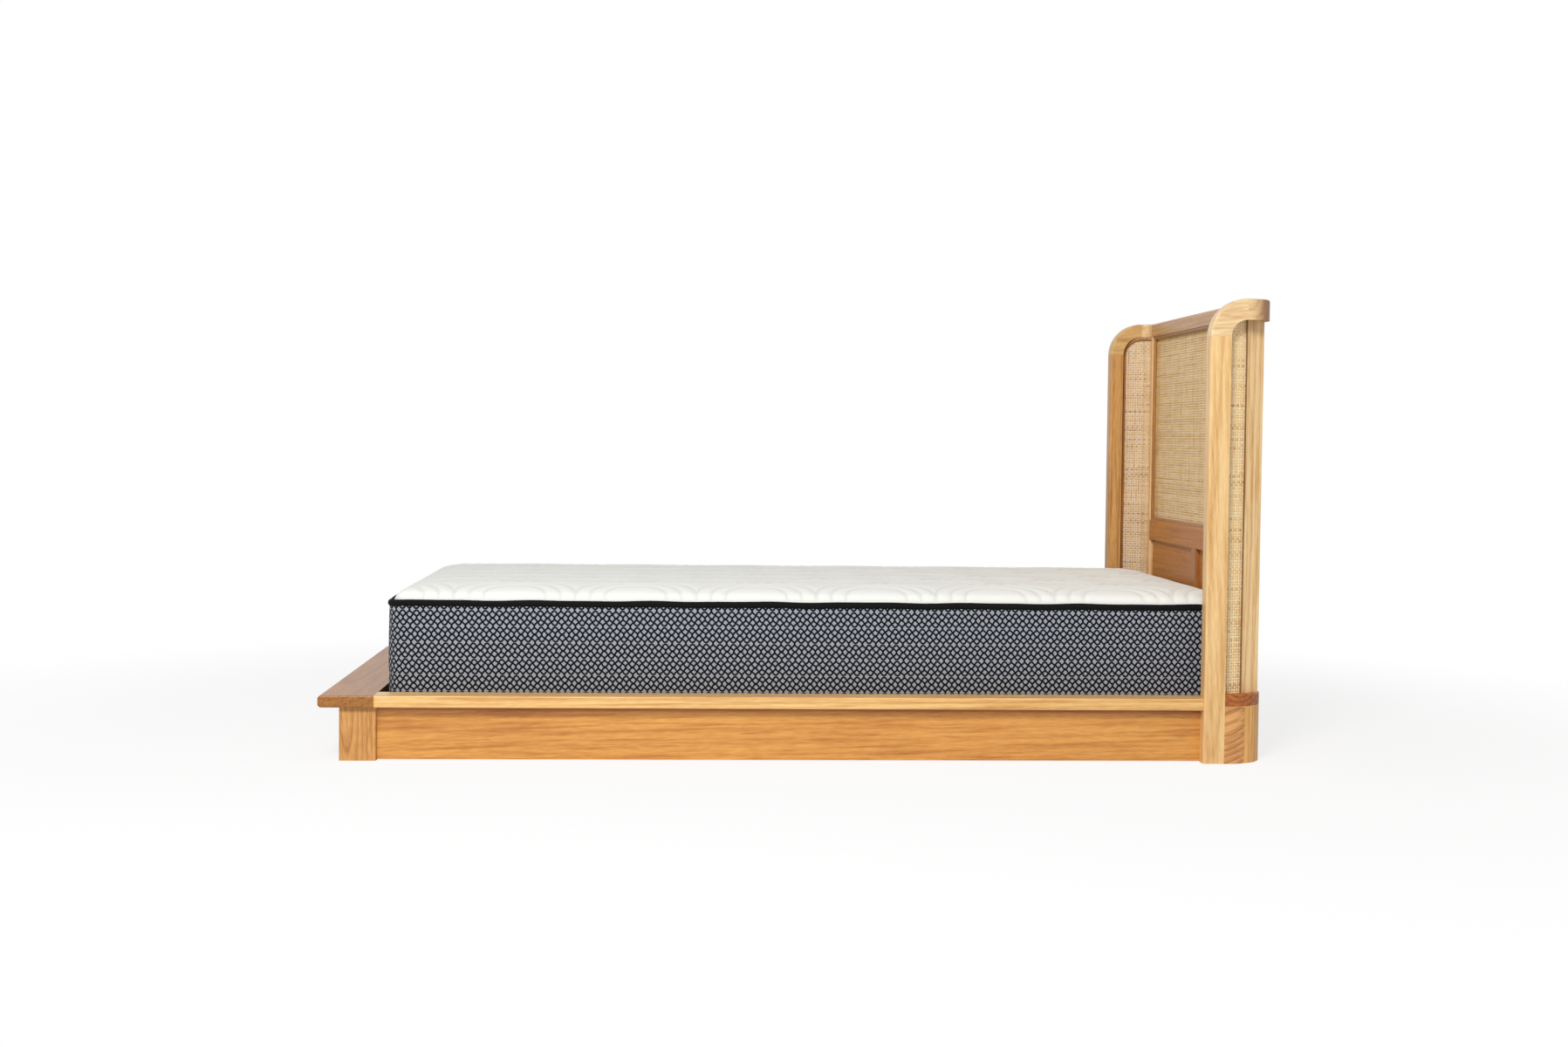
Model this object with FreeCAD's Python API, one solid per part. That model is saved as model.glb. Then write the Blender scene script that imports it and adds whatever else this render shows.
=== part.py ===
import FreeCAD, Part
import math
import os

# Single platform bed with a winged cane headboard and a mattress, in millimetres.
# The head is at +X, the foot at -X, the left side at -Y, and the floor is z = 0.

# Mattress
mattress_length = 1880.0
mattress_width = 920.0
mattress_height = 265.7
mattress_corner_radius = 45.0
mattress_side_bulge = 4.0
mattress_crown = 26.0
tape_height = 13.0
tape_thickness = 9.0
tape_proud = 2.0
tape_edge_bevel = 4.0
crown_reach = 230.0
crown_steps = 6
border_steps = 4

# Room left round the mattress
side_gap = 4.0
foot_gap = 16.0
head_gap = 8.0
seat_gap = 0.3

# Platform rails, ledge and legs
platform_height = 142.0
cap_width = 70.0
cap_thickness = 26.0
cap_setback = 5.0
board_edge_radius = 3.0
ledge_width = 120.0
ledge_nose_radius = 8.0
ledge_overhang = 44.0
leg_size = 79.0
leg_side_setback = 14.0
panel_setback = 12.0
panel_thickness = 22.0
floor_gap = 2.0
tenon_length = 20.0
tenon_thickness = 12.0
tenon_shoulder = 12.0
fit_gap = 0.2

# Slats and what carries them
slat_count = 14
slat_width = 70.0
slat_thickness = 18.0
slat_drop = 40.0
slat_end_gap = 2.0
slat_leg_gap = 5.0
cleat_width = 24.0
cleat_height = 30.0
beam_width = 44.0
beam_height = 44.0
rest_length = 40.0
rest_side = 18.0
centre_foot_count = 2
centre_foot_top_radius = 22.0
centre_foot_bottom_radius = 16.0
glide_radius = 18.0
glide_thickness = 5.0

# Joint between the side rails and the headboard
rail_block_width = 80.0
bracket_leg = 60.0
bracket_thickness = 4.0
bracket_height = 42.0
bracket_lift = 6.0
bolt_radius = 4.0
bolt_head_radius = 7.5
bolt_head_height = 5.5
bolt_length = 36.0
bolt_hole_gap = 0.4
bolt_edge = 18.0
bolts_per_bracket = 2
bolt_head_sides = 6

# Arched headboard frame
headboard_height = 1016.0
frame_width = 46.0
frame_thickness = 38.0
frame_edge_radius = 5.0
frame_edge_flats = 4
lip_thickness = 14.0
rabbet_width = 12.0
arch_radius = 82.0
corner_run = 2.0
corner_inner_radius = 21.0
dowel_radius = 5.0
dowel_depth = 20.0
dowel_gap = 0.1
dowel_face_share = 0.5

# Wing panels and corner posts
wing_slant_degrees = 24.0
cane_thickness = 2.0
bead_width = 9.0
bead_height = 6.0
bead_radius = 2.5
stile_width = 48.0
stile_proud = 5.0
stile_overhang = 5.0
stile_face = 20.0

# Back of the headboard
back_thickness = 22.0
back_recess = 10.0
back_bead_width = 8.0
back_bead_setback = 3.0
back_bead_radius = 4.0
low_rail_bottom = 445.0
low_rail_height = 52.0
bottom_rail_height = 75.0
muntin_width = 44.0
lower_panel_thickness = 6.0
groove_depth = 6.0
back_tenon_length = 13.0
back_tenon_thickness = 8.0
back_tenon_shoulder = 8.0

# Wing bases
base_height = 152.0
base_top_thickness = 26.0
base_front_length = 46.0
base_inner_depth = 72.0
base_round_share = 0.93
base_heel = 10.0

# Places worked out from the sizes
full_turn = 360.0
quarter_turn = 90.0
slant = math.radians(wing_slant_degrees)
overall_width = mattress_width + 2 * (side_gap + cap_width + cap_setback)
overall_length = ledge_width + foot_gap + mattress_length + head_gap + frame_thickness
wing_depth = arch_radius + corner_run + corner_inner_radius
inner_width = frame_width - rabbet_width
corner_radius = corner_inner_radius + frame_thickness

foot_end = -overall_length / 2
ledge_inner = foot_end + ledge_width
mattress_foot = ledge_inner + foot_gap
mattress_head = mattress_foot + mattress_length
back_front = mattress_head + head_gap
back_outer = back_front + frame_thickness
back_rear = back_front + back_thickness
post_front = back_front - wing_depth
post_back = post_front + frame_width
arch_end = post_front + arch_radius
corner_axis = arch_end + corner_run
leg_front = foot_end + ledge_overhang
leg_back = leg_front + leg_size
foot_panel_front = leg_front + panel_setback
foot_panel_back = foot_panel_front + panel_thickness

left_face = -overall_width / 2
cap_outer = left_face + cap_setback
cap_inner = cap_outer + cap_width
leg_outer = cap_outer + leg_side_setback
leg_inner = leg_outer + leg_size
panel_outer = leg_outer + panel_setback
panel_inner = panel_outer + panel_thickness
post_inner = left_face + frame_thickness

cap_bottom = platform_height - cap_thickness
slat_top = platform_height - slat_drop
slat_bottom = slat_top - slat_thickness
beam_bottom = slat_bottom - beam_height
arch_base = headboard_height - arch_radius
frame_ceiling = headboard_height - inner_width
low_rail_top = low_rail_bottom + low_rail_height
bottom_rail_top = base_height + bottom_rail_height
base_radius = base_round_share * (back_outer - post_back)
base_back_depth = base_radius + base_heel
cane_front = back_front + back_recess
cane_rear = cane_front + cane_thickness
groove_rear = cane_front + lower_panel_thickness

Vec = FreeCAD.Vector
ORIGIN = Vec(0, 0, 0)
X_AXIS = Vec(1, 0, 0)
Y_AXIS = Vec(0, 1, 0)
Z_AXIS = Vec(0, 0, 1)


def span_box(x_span, y_span, z_span):
    """Box between two ends on each axis."""
    low = Vec(x_span[0], y_span[0], z_span[0])
    return Part.makeBox(x_span[1] - x_span[0], y_span[1] - y_span[0], z_span[1] - z_span[0], low)


def rounded_wire(corners, place):
    """Closed wire through corners (a, b, radius), each rounded, put in space by place(a, b)."""
    ends = []
    for index, (a, b, radius) in enumerate(corners):
        here = Vec(a, b, 0)
        before = Vec(*corners[index - 1][:2], 0) - here
        after = Vec(*corners[(index + 1) % len(corners)][:2], 0) - here
        before.normalize()
        after.normalize()
        half_angle = before.getAngle(after) / 2
        reach = radius / math.tan(half_angle)
        middle = here
        if radius > 0:
            inward = before + after
            inward.normalize()
            middle = here + inward * (radius / math.sin(half_angle) - radius)
        ends.append((here + before * reach, middle, here + after * reach, radius))
    edges = []
    for index, (start, middle, end, radius) in enumerate(ends):
        if radius > 0:
            points = [place(point.x, point.y) for point in (start, middle, end)]
            edges.append(Part.Arc(*points).toShape())
        following = ends[(index + 1) % len(ends)][0]
        edges.append(Part.LineSegment(place(end.x, end.y), place(following.x, following.y)).toShape())
    return Part.Wire(edges)


def rounded_face(corners, place):
    """Flat face inside a rounded wire."""
    return Part.Face(rounded_wire(corners, place))


def plan_prism(corners, z_span):
    """Upright prism over a plan outline of corners (x, y, radius)."""
    face = rounded_face(corners, lambda x, y: Vec(x, y, z_span[0]))
    return face.extrude(Vec(0, 0, z_span[1] - z_span[0]))


def mirrored(shape):
    """The same piece on the other side of the bed."""
    return shape.mirror(ORIGIN, Y_AXIS)


def edges_where(shape, test):
    """Edges of a shape whose middle point passes a test."""
    chosen = []
    for edge in shape.Edges:
        if test(edge.valueAt((edge.FirstParameter + edge.LastParameter) / 2)):
            chosen.append(edge)
    return chosen


def near(first, second):
    """True where two places are the same to within the fit."""
    return abs(first - second) < fit_gap / 2


def save(name, *solids):
    """Write one node, as a single solid or as a group of separate solids."""
    shape = solids[0] if len(solids) == 1 else Part.makeCompound(list(solids))
    shape.exportStep(f"parts/{name}.step")


def save_pair(name, left):
    """Write a piece and its mirror image as the left and right nodes."""
    save(f"{name}_left", left)
    save(f"{name}_right", mirrored(left))


def eased_corner(centre_v, first_degrees):
    """Outer corner of the frame section, eased in a few flats."""
    points = []
    for step in range(frame_edge_flats + 1):
        angle = math.radians(first_degrees + quarter_turn * step / frame_edge_flats)
        u = frame_edge_radius * (1 + math.cos(angle))
        points.append((u, centre_v + frame_edge_radius * math.sin(angle), 0))
    return points


def frame_section(place, lip, turned=False):
    """Rabbeted section of the arched frame: u runs in from the outer edge, v from the outer face."""
    outer_corner = [(0, 0, frame_edge_radius)]
    room_corner = [(0, frame_thickness, frame_edge_radius)]
    if turned:
        outer_corner = eased_corner(frame_edge_radius, 2 * quarter_turn)
        room_corner = eased_corner(frame_thickness - frame_edge_radius, quarter_turn)
    rabbet = [
        (frame_width, 0, 0),
        (frame_width, lip, 0),
        (inner_width, lip, 0),
        (inner_width, frame_thickness, 0),
    ]
    return rounded_face(outer_corner + rabbet + room_corner, place)


def dowel_sites():
    """Middle point and direction of each dowel in the left half of the arched frame."""
    depth = dowel_face_share * frame_thickness
    height = headboard_height - inner_width / 2
    return [
        (Vec(post_front + inner_width / 2, left_face + depth, arch_base), Z_AXIS),
        (Vec(arch_end, left_face + depth, height), X_AXIS),
        (Vec(back_outer - depth, left_face + corner_radius, height), Y_AXIS),
    ]


def dowel(site, gap):
    """One dowel, or with a gap the hole that takes it."""
    middle, direction = site
    length = 2 * (dowel_depth + gap)
    return Part.makeCylinder(dowel_radius + gap, length, middle - direction * (length / 2), direction)


def drilled(shape):
    """A left frame piece with the holes for its dowels."""
    for site in dowel_sites():
        shape = shape.cut(dowel(site, dowel_gap))
    return shape


def wing_post():
    """Front post of a wing, full at the base and rabbeted for the cane above it."""
    foot_corners = [
        (post_front, left_face, frame_edge_radius),
        (post_back, left_face, 0),
        (post_back, post_inner, 0),
        (post_front, post_inner, frame_edge_radius),
    ]
    foot = plan_prism(foot_corners, (0, base_height))
    section = frame_section(lambda u, v: Vec(post_front + u, left_face + v, base_height), lip_thickness)
    upper = section.extrude(Vec(0, 0, arch_base - base_height))
    return drilled(foot.fuse(upper).removeSplitter())


def wing_arch():
    """Quarter ring that turns the post into the top of the wing."""
    section = frame_section(lambda u, v: Vec(post_front + u, left_face + v, arch_base), lip_thickness, True)
    return drilled(section.revolve(Vec(arch_end, 0, arch_base), Y_AXIS, quarter_turn))


def cap_corner():
    """Rounded corner of the frame, from the wing round to the back."""
    start = frame_section(lambda u, v: Vec(arch_end, left_face + v, headboard_height - u), lip_thickness, True)
    turn = frame_section(lambda u, v: Vec(corner_axis, left_face + v, headboard_height - u), lip_thickness, True)
    run = start.extrude(Vec(corner_run, 0, 0))
    sweep = turn.revolve(Vec(corner_axis, left_face + corner_radius, 0), Z_AXIS, quarter_turn)
    return drilled(run.fuse(sweep).removeSplitter())


def top_rail():
    """Straight rail across the top of the back."""
    end = left_face + corner_radius
    lip = back_outer - cane_rear
    section = frame_section(lambda u, v: Vec(back_outer - v, end, headboard_height - u), lip)
    rail = section.extrude(Vec(0, -2 * end, 0))
    return mirrored(drilled(mirrored(drilled(rail))))


def slant_y(x, offset):
    """Y of the slanted left wing panel at a place along the bed, off its outer surface towards the room."""
    start = left_face + lip_thickness + fit_gap
    return start + (x - post_front - inner_width) * math.tan(slant) + offset / math.cos(slant)


def slanted_slab(near_offset, far_offset, x_span, z_span):
    """Upright slab that follows the slanted wing panel."""
    corners = [
        (x_span[0], slant_y(x_span[0], near_offset), 0),
        (x_span[1], slant_y(x_span[1], near_offset), 0),
        (x_span[1], slant_y(x_span[1], far_offset), 0),
        (x_span[0], slant_y(x_span[0], far_offset), 0),
    ]
    return plan_prism(corners, z_span)


def wing_window(inset):
    """Prism through the wing opening, under the arch, drawn in from the rabbet by an inset."""
    left = post_front + inner_width + fit_gap + inset
    top = frame_ceiling - fit_gap - inset
    corners = [
        (left, base_height, 0),
        (back_front, base_height, 0),
        (back_front, top, 0),
        (left, top, arch_radius - inner_width - fit_gap - inset),
    ]
    face = rounded_face(corners, lambda x, z: Vec(x, left_face, z))
    return face.extrude(Vec(0, overall_width / 2, 0))


def wing_cane():
    """Cane sheet of a wing, slanted in from the post to the corner post."""
    slab = slanted_slab(0, cane_thickness, (post_front, back_front), (base_height, frame_ceiling))
    return slab.common(wing_window(0))


def wing_bead():
    """Bead that holds the wing cane against the rabbet, along the post and round the arch."""
    top_offset = cane_thickness + bead_height
    slab = slanted_slab(cane_thickness, top_offset, (post_front, back_front), (base_height, frame_ceiling))
    bead = slab.common(wing_window(0)).cut(wing_window(bead_width))
    rim = edges_where(bead, lambda p: near(p.y, slant_y(p.x, top_offset)))
    rim = [edge for edge in rim if edge.Length > bead_width + 2 * fit_gap]
    return bead.makeFillet(bead_radius, rim)


def back_edge():
    """Y of the inner edge of the left corner post, where the back opening starts."""
    return slant_y(back_front, cane_thickness) + stile_face


def corner_post(cap, rail):
    """Corner post that backs the wing cane and frames the back, trimmed to the frame above it."""
    outer_end = back_rear + stile_overhang
    outer_start = outer_end - stile_width * math.cos(slant)
    rear_y = slant_y(outer_end, -stile_proud) + stile_overhang / math.tan(slant)
    corners = [
        (outer_start, slant_y(outer_start, -stile_proud), 0),
        (outer_end, slant_y(outer_end, -stile_proud), 0),
        (back_rear, min(rear_y, back_edge()), 0),
        (back_rear, back_edge() + fit_gap, 0),
        (back_front, back_edge() + fit_gap, 0),
        (back_front, slant_y(back_front, 0), 0),
        (outer_start, slant_y(outer_start, 0), 0),
    ]
    post = plan_prism(corners, (base_height, frame_ceiling)).cut(cap).cut(rail)
    groove_y = (back_edge() - groove_depth, back_edge() + panel_thickness)
    cane_groove = span_box((cane_front, cane_rear), groove_y, (low_rail_top - groove_depth, frame_ceiling))
    panel_z = (bottom_rail_top - groove_depth, low_rail_bottom + groove_depth)
    panel_groove = span_box((cane_front, groove_rear), groove_y, panel_z)
    post = post.cut(cane_groove).cut(panel_groove)
    for low, high in ((low_rail_bottom, low_rail_top), (base_height, bottom_rail_top)):
        post = post.cut(back_tenon(low, high, fit_gap))
    return post


def back_tenon(low, high, gap):
    """Tenon of a back rail in the left corner post, or with a gap its mortise."""
    middle = (back_front + back_rear) / 2
    half = back_tenon_thickness / 2 + gap
    y_span = (back_edge() - back_tenon_length - gap, back_edge() + stile_face)
    z_span = (low + back_tenon_shoulder - gap, high - back_tenon_shoulder + gap)
    return span_box((middle - half, middle + half), y_span, z_span)


def back_rail(low, high):
    """Rail across the back with a tenon at each end."""
    edge = back_edge() + fit_gap
    rail = span_box((back_front, back_rear), (edge, -edge), (low, high))
    tenon = back_tenon(low, high, 0)
    return rail.fuse(tenon).fuse(mirrored(tenon)).removeSplitter()


def low_rail():
    """Rail below the cane, grooved for the cane above and the panels below."""
    rail = back_rail(low_rail_bottom, low_rail_top)
    front = edges_where(rail, lambda p: near(p.x, back_front) and near(p.z, low_rail_top))
    rail = rail.makeFillet(board_edge_radius, front)
    width = (left_face, -left_face)
    cane_z = (low_rail_top - groove_depth, low_rail_top + groove_depth)
    cane_slot = span_box((cane_front, cane_rear), width, cane_z)
    panel_z = (low_rail_bottom - groove_depth, low_rail_bottom + groove_depth)
    panel_slot = span_box((cane_front, groove_rear), width, panel_z)
    return rail.cut(cane_slot).cut(panel_slot).cut(muntin_tenon(low_rail_bottom, 1, fit_gap))


def bottom_rail():
    """Rail that stands on the bases and the plinth, grooved for the lower panels."""
    rail = back_rail(base_height, bottom_rail_top)
    slot_z = (bottom_rail_top - groove_depth, bottom_rail_top + groove_depth)
    slot = span_box((cane_front, groove_rear), (left_face, -left_face), slot_z)
    return rail.cut(slot).cut(muntin_tenon(bottom_rail_top, -1, fit_gap))


def muntin_tenon(level, sense, gap):
    """Stub tenon of the muntin up or down from a level, or with a gap its mortise."""
    middle = (back_front + back_rear) / 2
    half = back_tenon_thickness / 2 + gap
    side = muntin_width / 2 - back_tenon_shoulder + gap
    reach = level + sense * (back_tenon_length + gap)
    return span_box((middle - half, middle + half), (-side, side), (min(level, reach), max(level, reach)))


def muntin():
    """Upright between the two lower panels."""
    half = muntin_width / 2
    z_span = (bottom_rail_top, low_rail_bottom)
    post = span_box((back_front, back_rear), (-half, half), z_span)
    groove = span_box((cane_front, groove_rear), (half - groove_depth, half), z_span)
    post = post.cut(groove).cut(mirrored(groove))
    upper = muntin_tenon(low_rail_bottom, 1, 0)
    lower = muntin_tenon(bottom_rail_top, -1, 0)
    return post.fuse(upper).fuse(lower).removeSplitter()


def lower_panel():
    """Flat panel held in the grooves below the low rail."""
    sink = groove_depth - fit_gap
    y_span = (back_edge() - sink, -muntin_width / 2 + sink)
    return span_box((cane_front, groove_rear), y_span, (bottom_rail_top - sink, low_rail_bottom + sink))


def back_cane():
    """Cane sheet of the back, held in grooves at the sides and below and in the rabbet above."""
    sink = groove_depth - fit_gap
    edge = back_edge() - sink
    return span_box((cane_front, cane_rear), (edge, -edge), (low_rail_top - sink, frame_ceiling - fit_gap))


def back_bead():
    """Bead all round the back opening, in front of the cane."""
    front = back_front + back_bead_setback
    edge = back_edge() + 2 * fit_gap
    top = frame_ceiling - fit_gap
    inner = edge + back_bead_width
    inner_z = (low_rail_top + back_bead_width, top - back_bead_width)
    block = span_box((front, cane_front), (edge, -edge), (low_rail_top, top))
    ring = block.cut(span_box((front, cane_front), (inner, -inner), inner_z))

    def on_inner_rim(point):
        at_side = near(abs(point.y), abs(inner))
        at_end = near(point.z, inner_z[0]) or near(point.z, inner_z[1])
        return near(point.x, front) and (at_side or at_end)

    rim = edges_where(ring, on_inner_rim)
    return ring.makeFillet(back_bead_radius, rim)


def base_plan():
    """Plan of a wing base: a big round at the outer back corner, clear of the mattress inside."""
    return [
        (post_back, left_face, 0),
        (back_outer, left_face, base_radius),
        (back_outer, left_face + base_back_depth, 0),
        (back_front, left_face + base_back_depth, 0),
        (back_front, left_face + base_inner_depth, 0),
        (post_back, left_face + base_inner_depth, 0),
    ]


def base_top():
    """Curved board on top of a wing base."""
    board = plan_prism(base_plan(), (base_height - base_top_thickness, base_height))

    def on_outer_rim(point):
        outside = point.y < left_face + base_inner_depth - fit_gap or near(point.x, back_outer)
        return near(point.z, base_height) and outside and point.x > post_back + fit_gap

    rim = edges_where(board, on_outer_rim)
    return board.makeFillet(board_edge_radius, rim)


def base_block(x_span):
    """One of the two upright blocks under the curved board."""
    block = plan_prism(base_plan(), (0, base_height - base_top_thickness))
    return block.common(span_box(x_span, (left_face, 0), (0, base_height)))


def plinth():
    """Board that closes the back between the two bases."""
    end = left_face + base_back_depth
    return span_box((back_front, back_rear), (end, -end), (floor_gap, base_height))


def bolt_sites():
    """Middle of each bolt head's seat on the left bracket."""
    low = floor_gap + bracket_lift
    step = bracket_height / bolts_per_bracket
    y = panel_inner + bracket_leg - bolt_edge
    seat = post_front - bracket_thickness
    return [Vec(seat, y, low + step * (index + 1 / 2)) for index in range(bolts_per_bracket)]


def rail_block():
    """Block behind the post that the side rail bolts to."""
    x_span = (post_front, post_back)
    y_span = (post_inner, post_inner + rail_block_width)
    block = span_box(x_span, y_span, (floor_gap, slat_bottom))
    for seat in bolt_sites():
        block = block.cut(Part.makeCylinder(bolt_radius + bolt_hole_gap, bolt_length, seat, X_AXIS))
    return block


def rail_bracket():
    """Steel angle between the side panel and the rail block."""
    z_span = (floor_gap + bracket_lift, floor_gap + bracket_lift + bracket_height)
    along = (post_front - bracket_leg, post_front)
    side = span_box(along, (panel_inner, panel_inner + bracket_thickness), z_span)
    across = (panel_inner, panel_inner + bracket_leg)
    face = span_box((post_front - bracket_thickness, post_front), across, z_span)
    bracket = side.fuse(face).removeSplitter()
    for seat in bolt_sites():
        bracket = bracket.cut(Part.makeCylinder(bolt_radius + bolt_hole_gap, bolt_length, seat, X_AXIS))
    return bracket


def hexagon_head(seat):
    """Six-sided bolt head in front of its seat."""
    corners = []
    for side in range(bolt_head_sides):
        angle = math.radians(full_turn * side / bolt_head_sides)
        corners.append((bolt_head_radius * math.cos(angle), bolt_head_radius * math.sin(angle), 0))
    face = rounded_face(corners, lambda a, b: seat + Vec(0, a, b))
    return face.extrude(Vec(-bolt_head_height, 0, 0))


def bed_bolts():
    """Bolts of both brackets, as separate solids."""
    bolts = []
    for seat in bolt_sites():
        shank = Part.makeCylinder(bolt_radius, bolt_length - bolt_hole_gap, seat, X_AXIS)
        bolt = hexagon_head(seat).fuse(shank)
        bolts += [bolt, mirrored(bolt)]
    return bolts


def side_cap():
    """Cap board of a side rail, notched round the wing post."""
    corners = [
        (ledge_inner, cap_outer, 0),
        (post_front, cap_outer, 0),
        (post_front, post_inner, 0),
        (post_back, post_inner, 0),
        (post_back, cap_inner, 0),
        (ledge_inner, cap_inner, 0),
    ]
    board = plan_prism(corners, (cap_bottom, platform_height))
    middle = (cap_bottom + platform_height) / 2
    rim = edges_where(board, lambda p: near(p.y, cap_outer) and not near(p.z, middle))
    return board.makeFillet(board_edge_radius, rim)


def side_tenon(gap):
    """Tenon of the side panel in the left leg, or with a gap its mortise."""
    middle = (panel_outer + panel_inner) / 2
    half = tenon_thickness / 2 + gap
    z_span = (floor_gap + tenon_shoulder - gap, cap_bottom - tenon_shoulder + gap)
    return span_box((leg_back - tenon_length - gap, leg_back), (middle - half, middle + half), z_span)


def side_panel():
    """Side board below the cap, from the leg to the wing post."""
    board = span_box((leg_back, post_front), (panel_outer, panel_inner), (floor_gap, cap_bottom))
    return board.fuse(side_tenon(0)).removeSplitter()


def foot_tenon(gap):
    """Tenon of the foot panel in the left leg, or with a gap its mortise."""
    middle = (foot_panel_front + foot_panel_back) / 2
    half = tenon_thickness / 2 + gap
    z_span = (floor_gap + tenon_shoulder - gap, cap_bottom - tenon_shoulder + gap)
    return span_box((middle - half, middle + half), (leg_inner - tenon_length - gap, leg_inner), z_span)


def foot_panel():
    """Board between the two legs under the ledge."""
    board = span_box((foot_panel_front, foot_panel_back), (leg_inner, -leg_inner), (floor_gap, cap_bottom))
    return board.fuse(foot_tenon(0)).fuse(mirrored(foot_tenon(0))).removeSplitter()


def foot_leg():
    """Square leg under a corner of the ledge, mortised for both panels."""
    corners = [
        (leg_front, leg_outer, board_edge_radius),
        (leg_back, leg_outer, board_edge_radius),
        (leg_back, leg_inner, 0),
        (leg_front, leg_inner, board_edge_radius),
    ]
    leg = plan_prism(corners, (0, cap_bottom))
    return leg.cut(side_tenon(fit_gap)).cut(foot_tenon(fit_gap))


def foot_ledge():
    """Wide board across the foot with a rounded nose."""
    corners = [
        (foot_end, cap_bottom, ledge_nose_radius),
        (ledge_inner, cap_bottom, 0),
        (ledge_inner, platform_height, 0),
        (foot_end, platform_height, ledge_nose_radius),
    ]
    face = rounded_face(corners, lambda x, z: Vec(x, cap_outer, z))
    board = face.extrude(Vec(0, -2 * cap_outer, 0))

    def on_end(point):
        return near(abs(point.y), abs(cap_outer)) and not near(point.x, ledge_inner)

    return board.makeFillet(board_edge_radius, edges_where(board, on_end))


def side_cleat():
    """Batten inside the side panel that carries the slat ends."""
    y_span = (panel_inner, panel_inner + cleat_width)
    return span_box((leg_back, post_front), y_span, (slat_bottom - cleat_height, slat_bottom))


def slats():
    """Slats spread evenly from the legs to the back of the wing posts."""
    first = leg_back + slat_leg_gap
    step = (post_back - slat_width - first) / (slat_count - 1)
    end = panel_inner + slat_end_gap
    boards = []
    for index in range(slat_count):
        start = first + step * index
        boards.append(span_box((start, start + slat_width), (end, -end), (slat_bottom, slat_top)))
    return boards


def centre_beam():
    """Beam under the middle of the slats, from the foot panel to the plinth."""
    half = beam_width / 2
    return span_box((foot_panel_back, back_front), (-half, half), (beam_bottom, slat_bottom))


def beam_rest(x_span):
    """Block under one end of the beam."""
    half = beam_width / 2 + rest_side
    return span_box(x_span, (-half, half), (floor_gap, beam_bottom))


def centre_foot_places():
    """Places along the bed of the feet under the beam."""
    step = (back_front - foot_panel_back) / (centre_foot_count + 1)
    return [foot_panel_back + step * (index + 1) for index in range(centre_foot_count)]


def centre_foot(x):
    """Turned foot under the beam, tapering down to its glide."""
    height = beam_bottom - glide_thickness
    base = Vec(x, 0, glide_thickness)
    return Part.makeCone(centre_foot_bottom_radius, centre_foot_top_radius, height, base)


def glide(x):
    """Flat disc that the turned foot stands on."""
    return Part.makeCylinder(glide_radius, glide_thickness, Vec(x, 0, 0))


def mattress_wire(inset, z):
    """Rounded outline of the mattress, drawn in by an inset, at a height."""
    side = mattress_width / 2 - inset
    corners = [
        (mattress_foot + inset, -side, mattress_corner_radius),
        (mattress_head - inset, -side, mattress_corner_radius),
        (mattress_head - inset, side, mattress_corner_radius),
        (mattress_foot + inset, side, mattress_corner_radius),
    ]
    return rounded_wire(corners, lambda x, y: Vec(x, y, z))


def mattress_levels():
    """Heights of the bottom, the lower seam, the upper seam and the top of the upper tape."""
    bottom = slat_top + seat_gap
    lower_seam = bottom + tape_height
    tape_top = bottom + mattress_height - mattress_crown
    return bottom, lower_seam, tape_top - tape_height, tape_top


def mattress_core():
    """Sprung core in its border, swelling a little between the seams."""
    bottom, lower_seam, upper_seam, tape_top = mattress_levels()
    wires = []
    for step in range(border_steps + 1):
        share = step / border_steps
        inset = mattress_side_bulge * (1 - math.sin(math.pi * share))
        wires.append(mattress_wire(inset, lower_seam + (upper_seam - lower_seam) * share))
    return Part.makeLoft(wires, True, True)


def tape_inner():
    """How far the inner side of a tape lies inside the widest outline."""
    return mattress_side_bulge - tape_proud + tape_thickness


def edge_tape(low):
    """Tape sewn round the edge of the mattress, bevelled on its outer side."""
    outer = Part.Face(mattress_wire(mattress_side_bulge - tape_proud, low)).extrude(Vec(0, 0, tape_height))
    middle = low + tape_height / 2
    rim = edges_where(outer, lambda p: abs(p.z - middle) > tape_height / 4)
    outer = outer.makeChamfer(tape_edge_bevel, rim)
    return outer.cut(Part.Face(mattress_wire(tape_inner(), low)).extrude(Vec(0, 0, tape_height)))


def mattress_top():
    """Quilted top: a neck inside the tape, then a crown that rises in a quarter ellipse."""
    bottom, lower_seam, upper_seam, tape_top = mattress_levels()
    neck = Part.Face(mattress_wire(tape_inner(), upper_seam)).extrude(Vec(0, 0, tape_height))
    wires = []
    for step in range(crown_steps + 1):
        angle = math.radians(quarter_turn * step / crown_steps)
        inset = tape_inner() + crown_reach * (1 - math.cos(angle))
        wires.append(mattress_wire(inset, tape_top + mattress_crown * math.sin(angle)))
    return neck.fuse(Part.makeLoft(wires, True, True))


def mattress_bottom():
    """Flat panel under the core, inside the lower tape."""
    bottom, lower_seam, upper_seam, tape_top = mattress_levels()
    return Part.Face(mattress_wire(tape_inner(), bottom)).extrude(Vec(0, 0, lower_seam - bottom))


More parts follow.
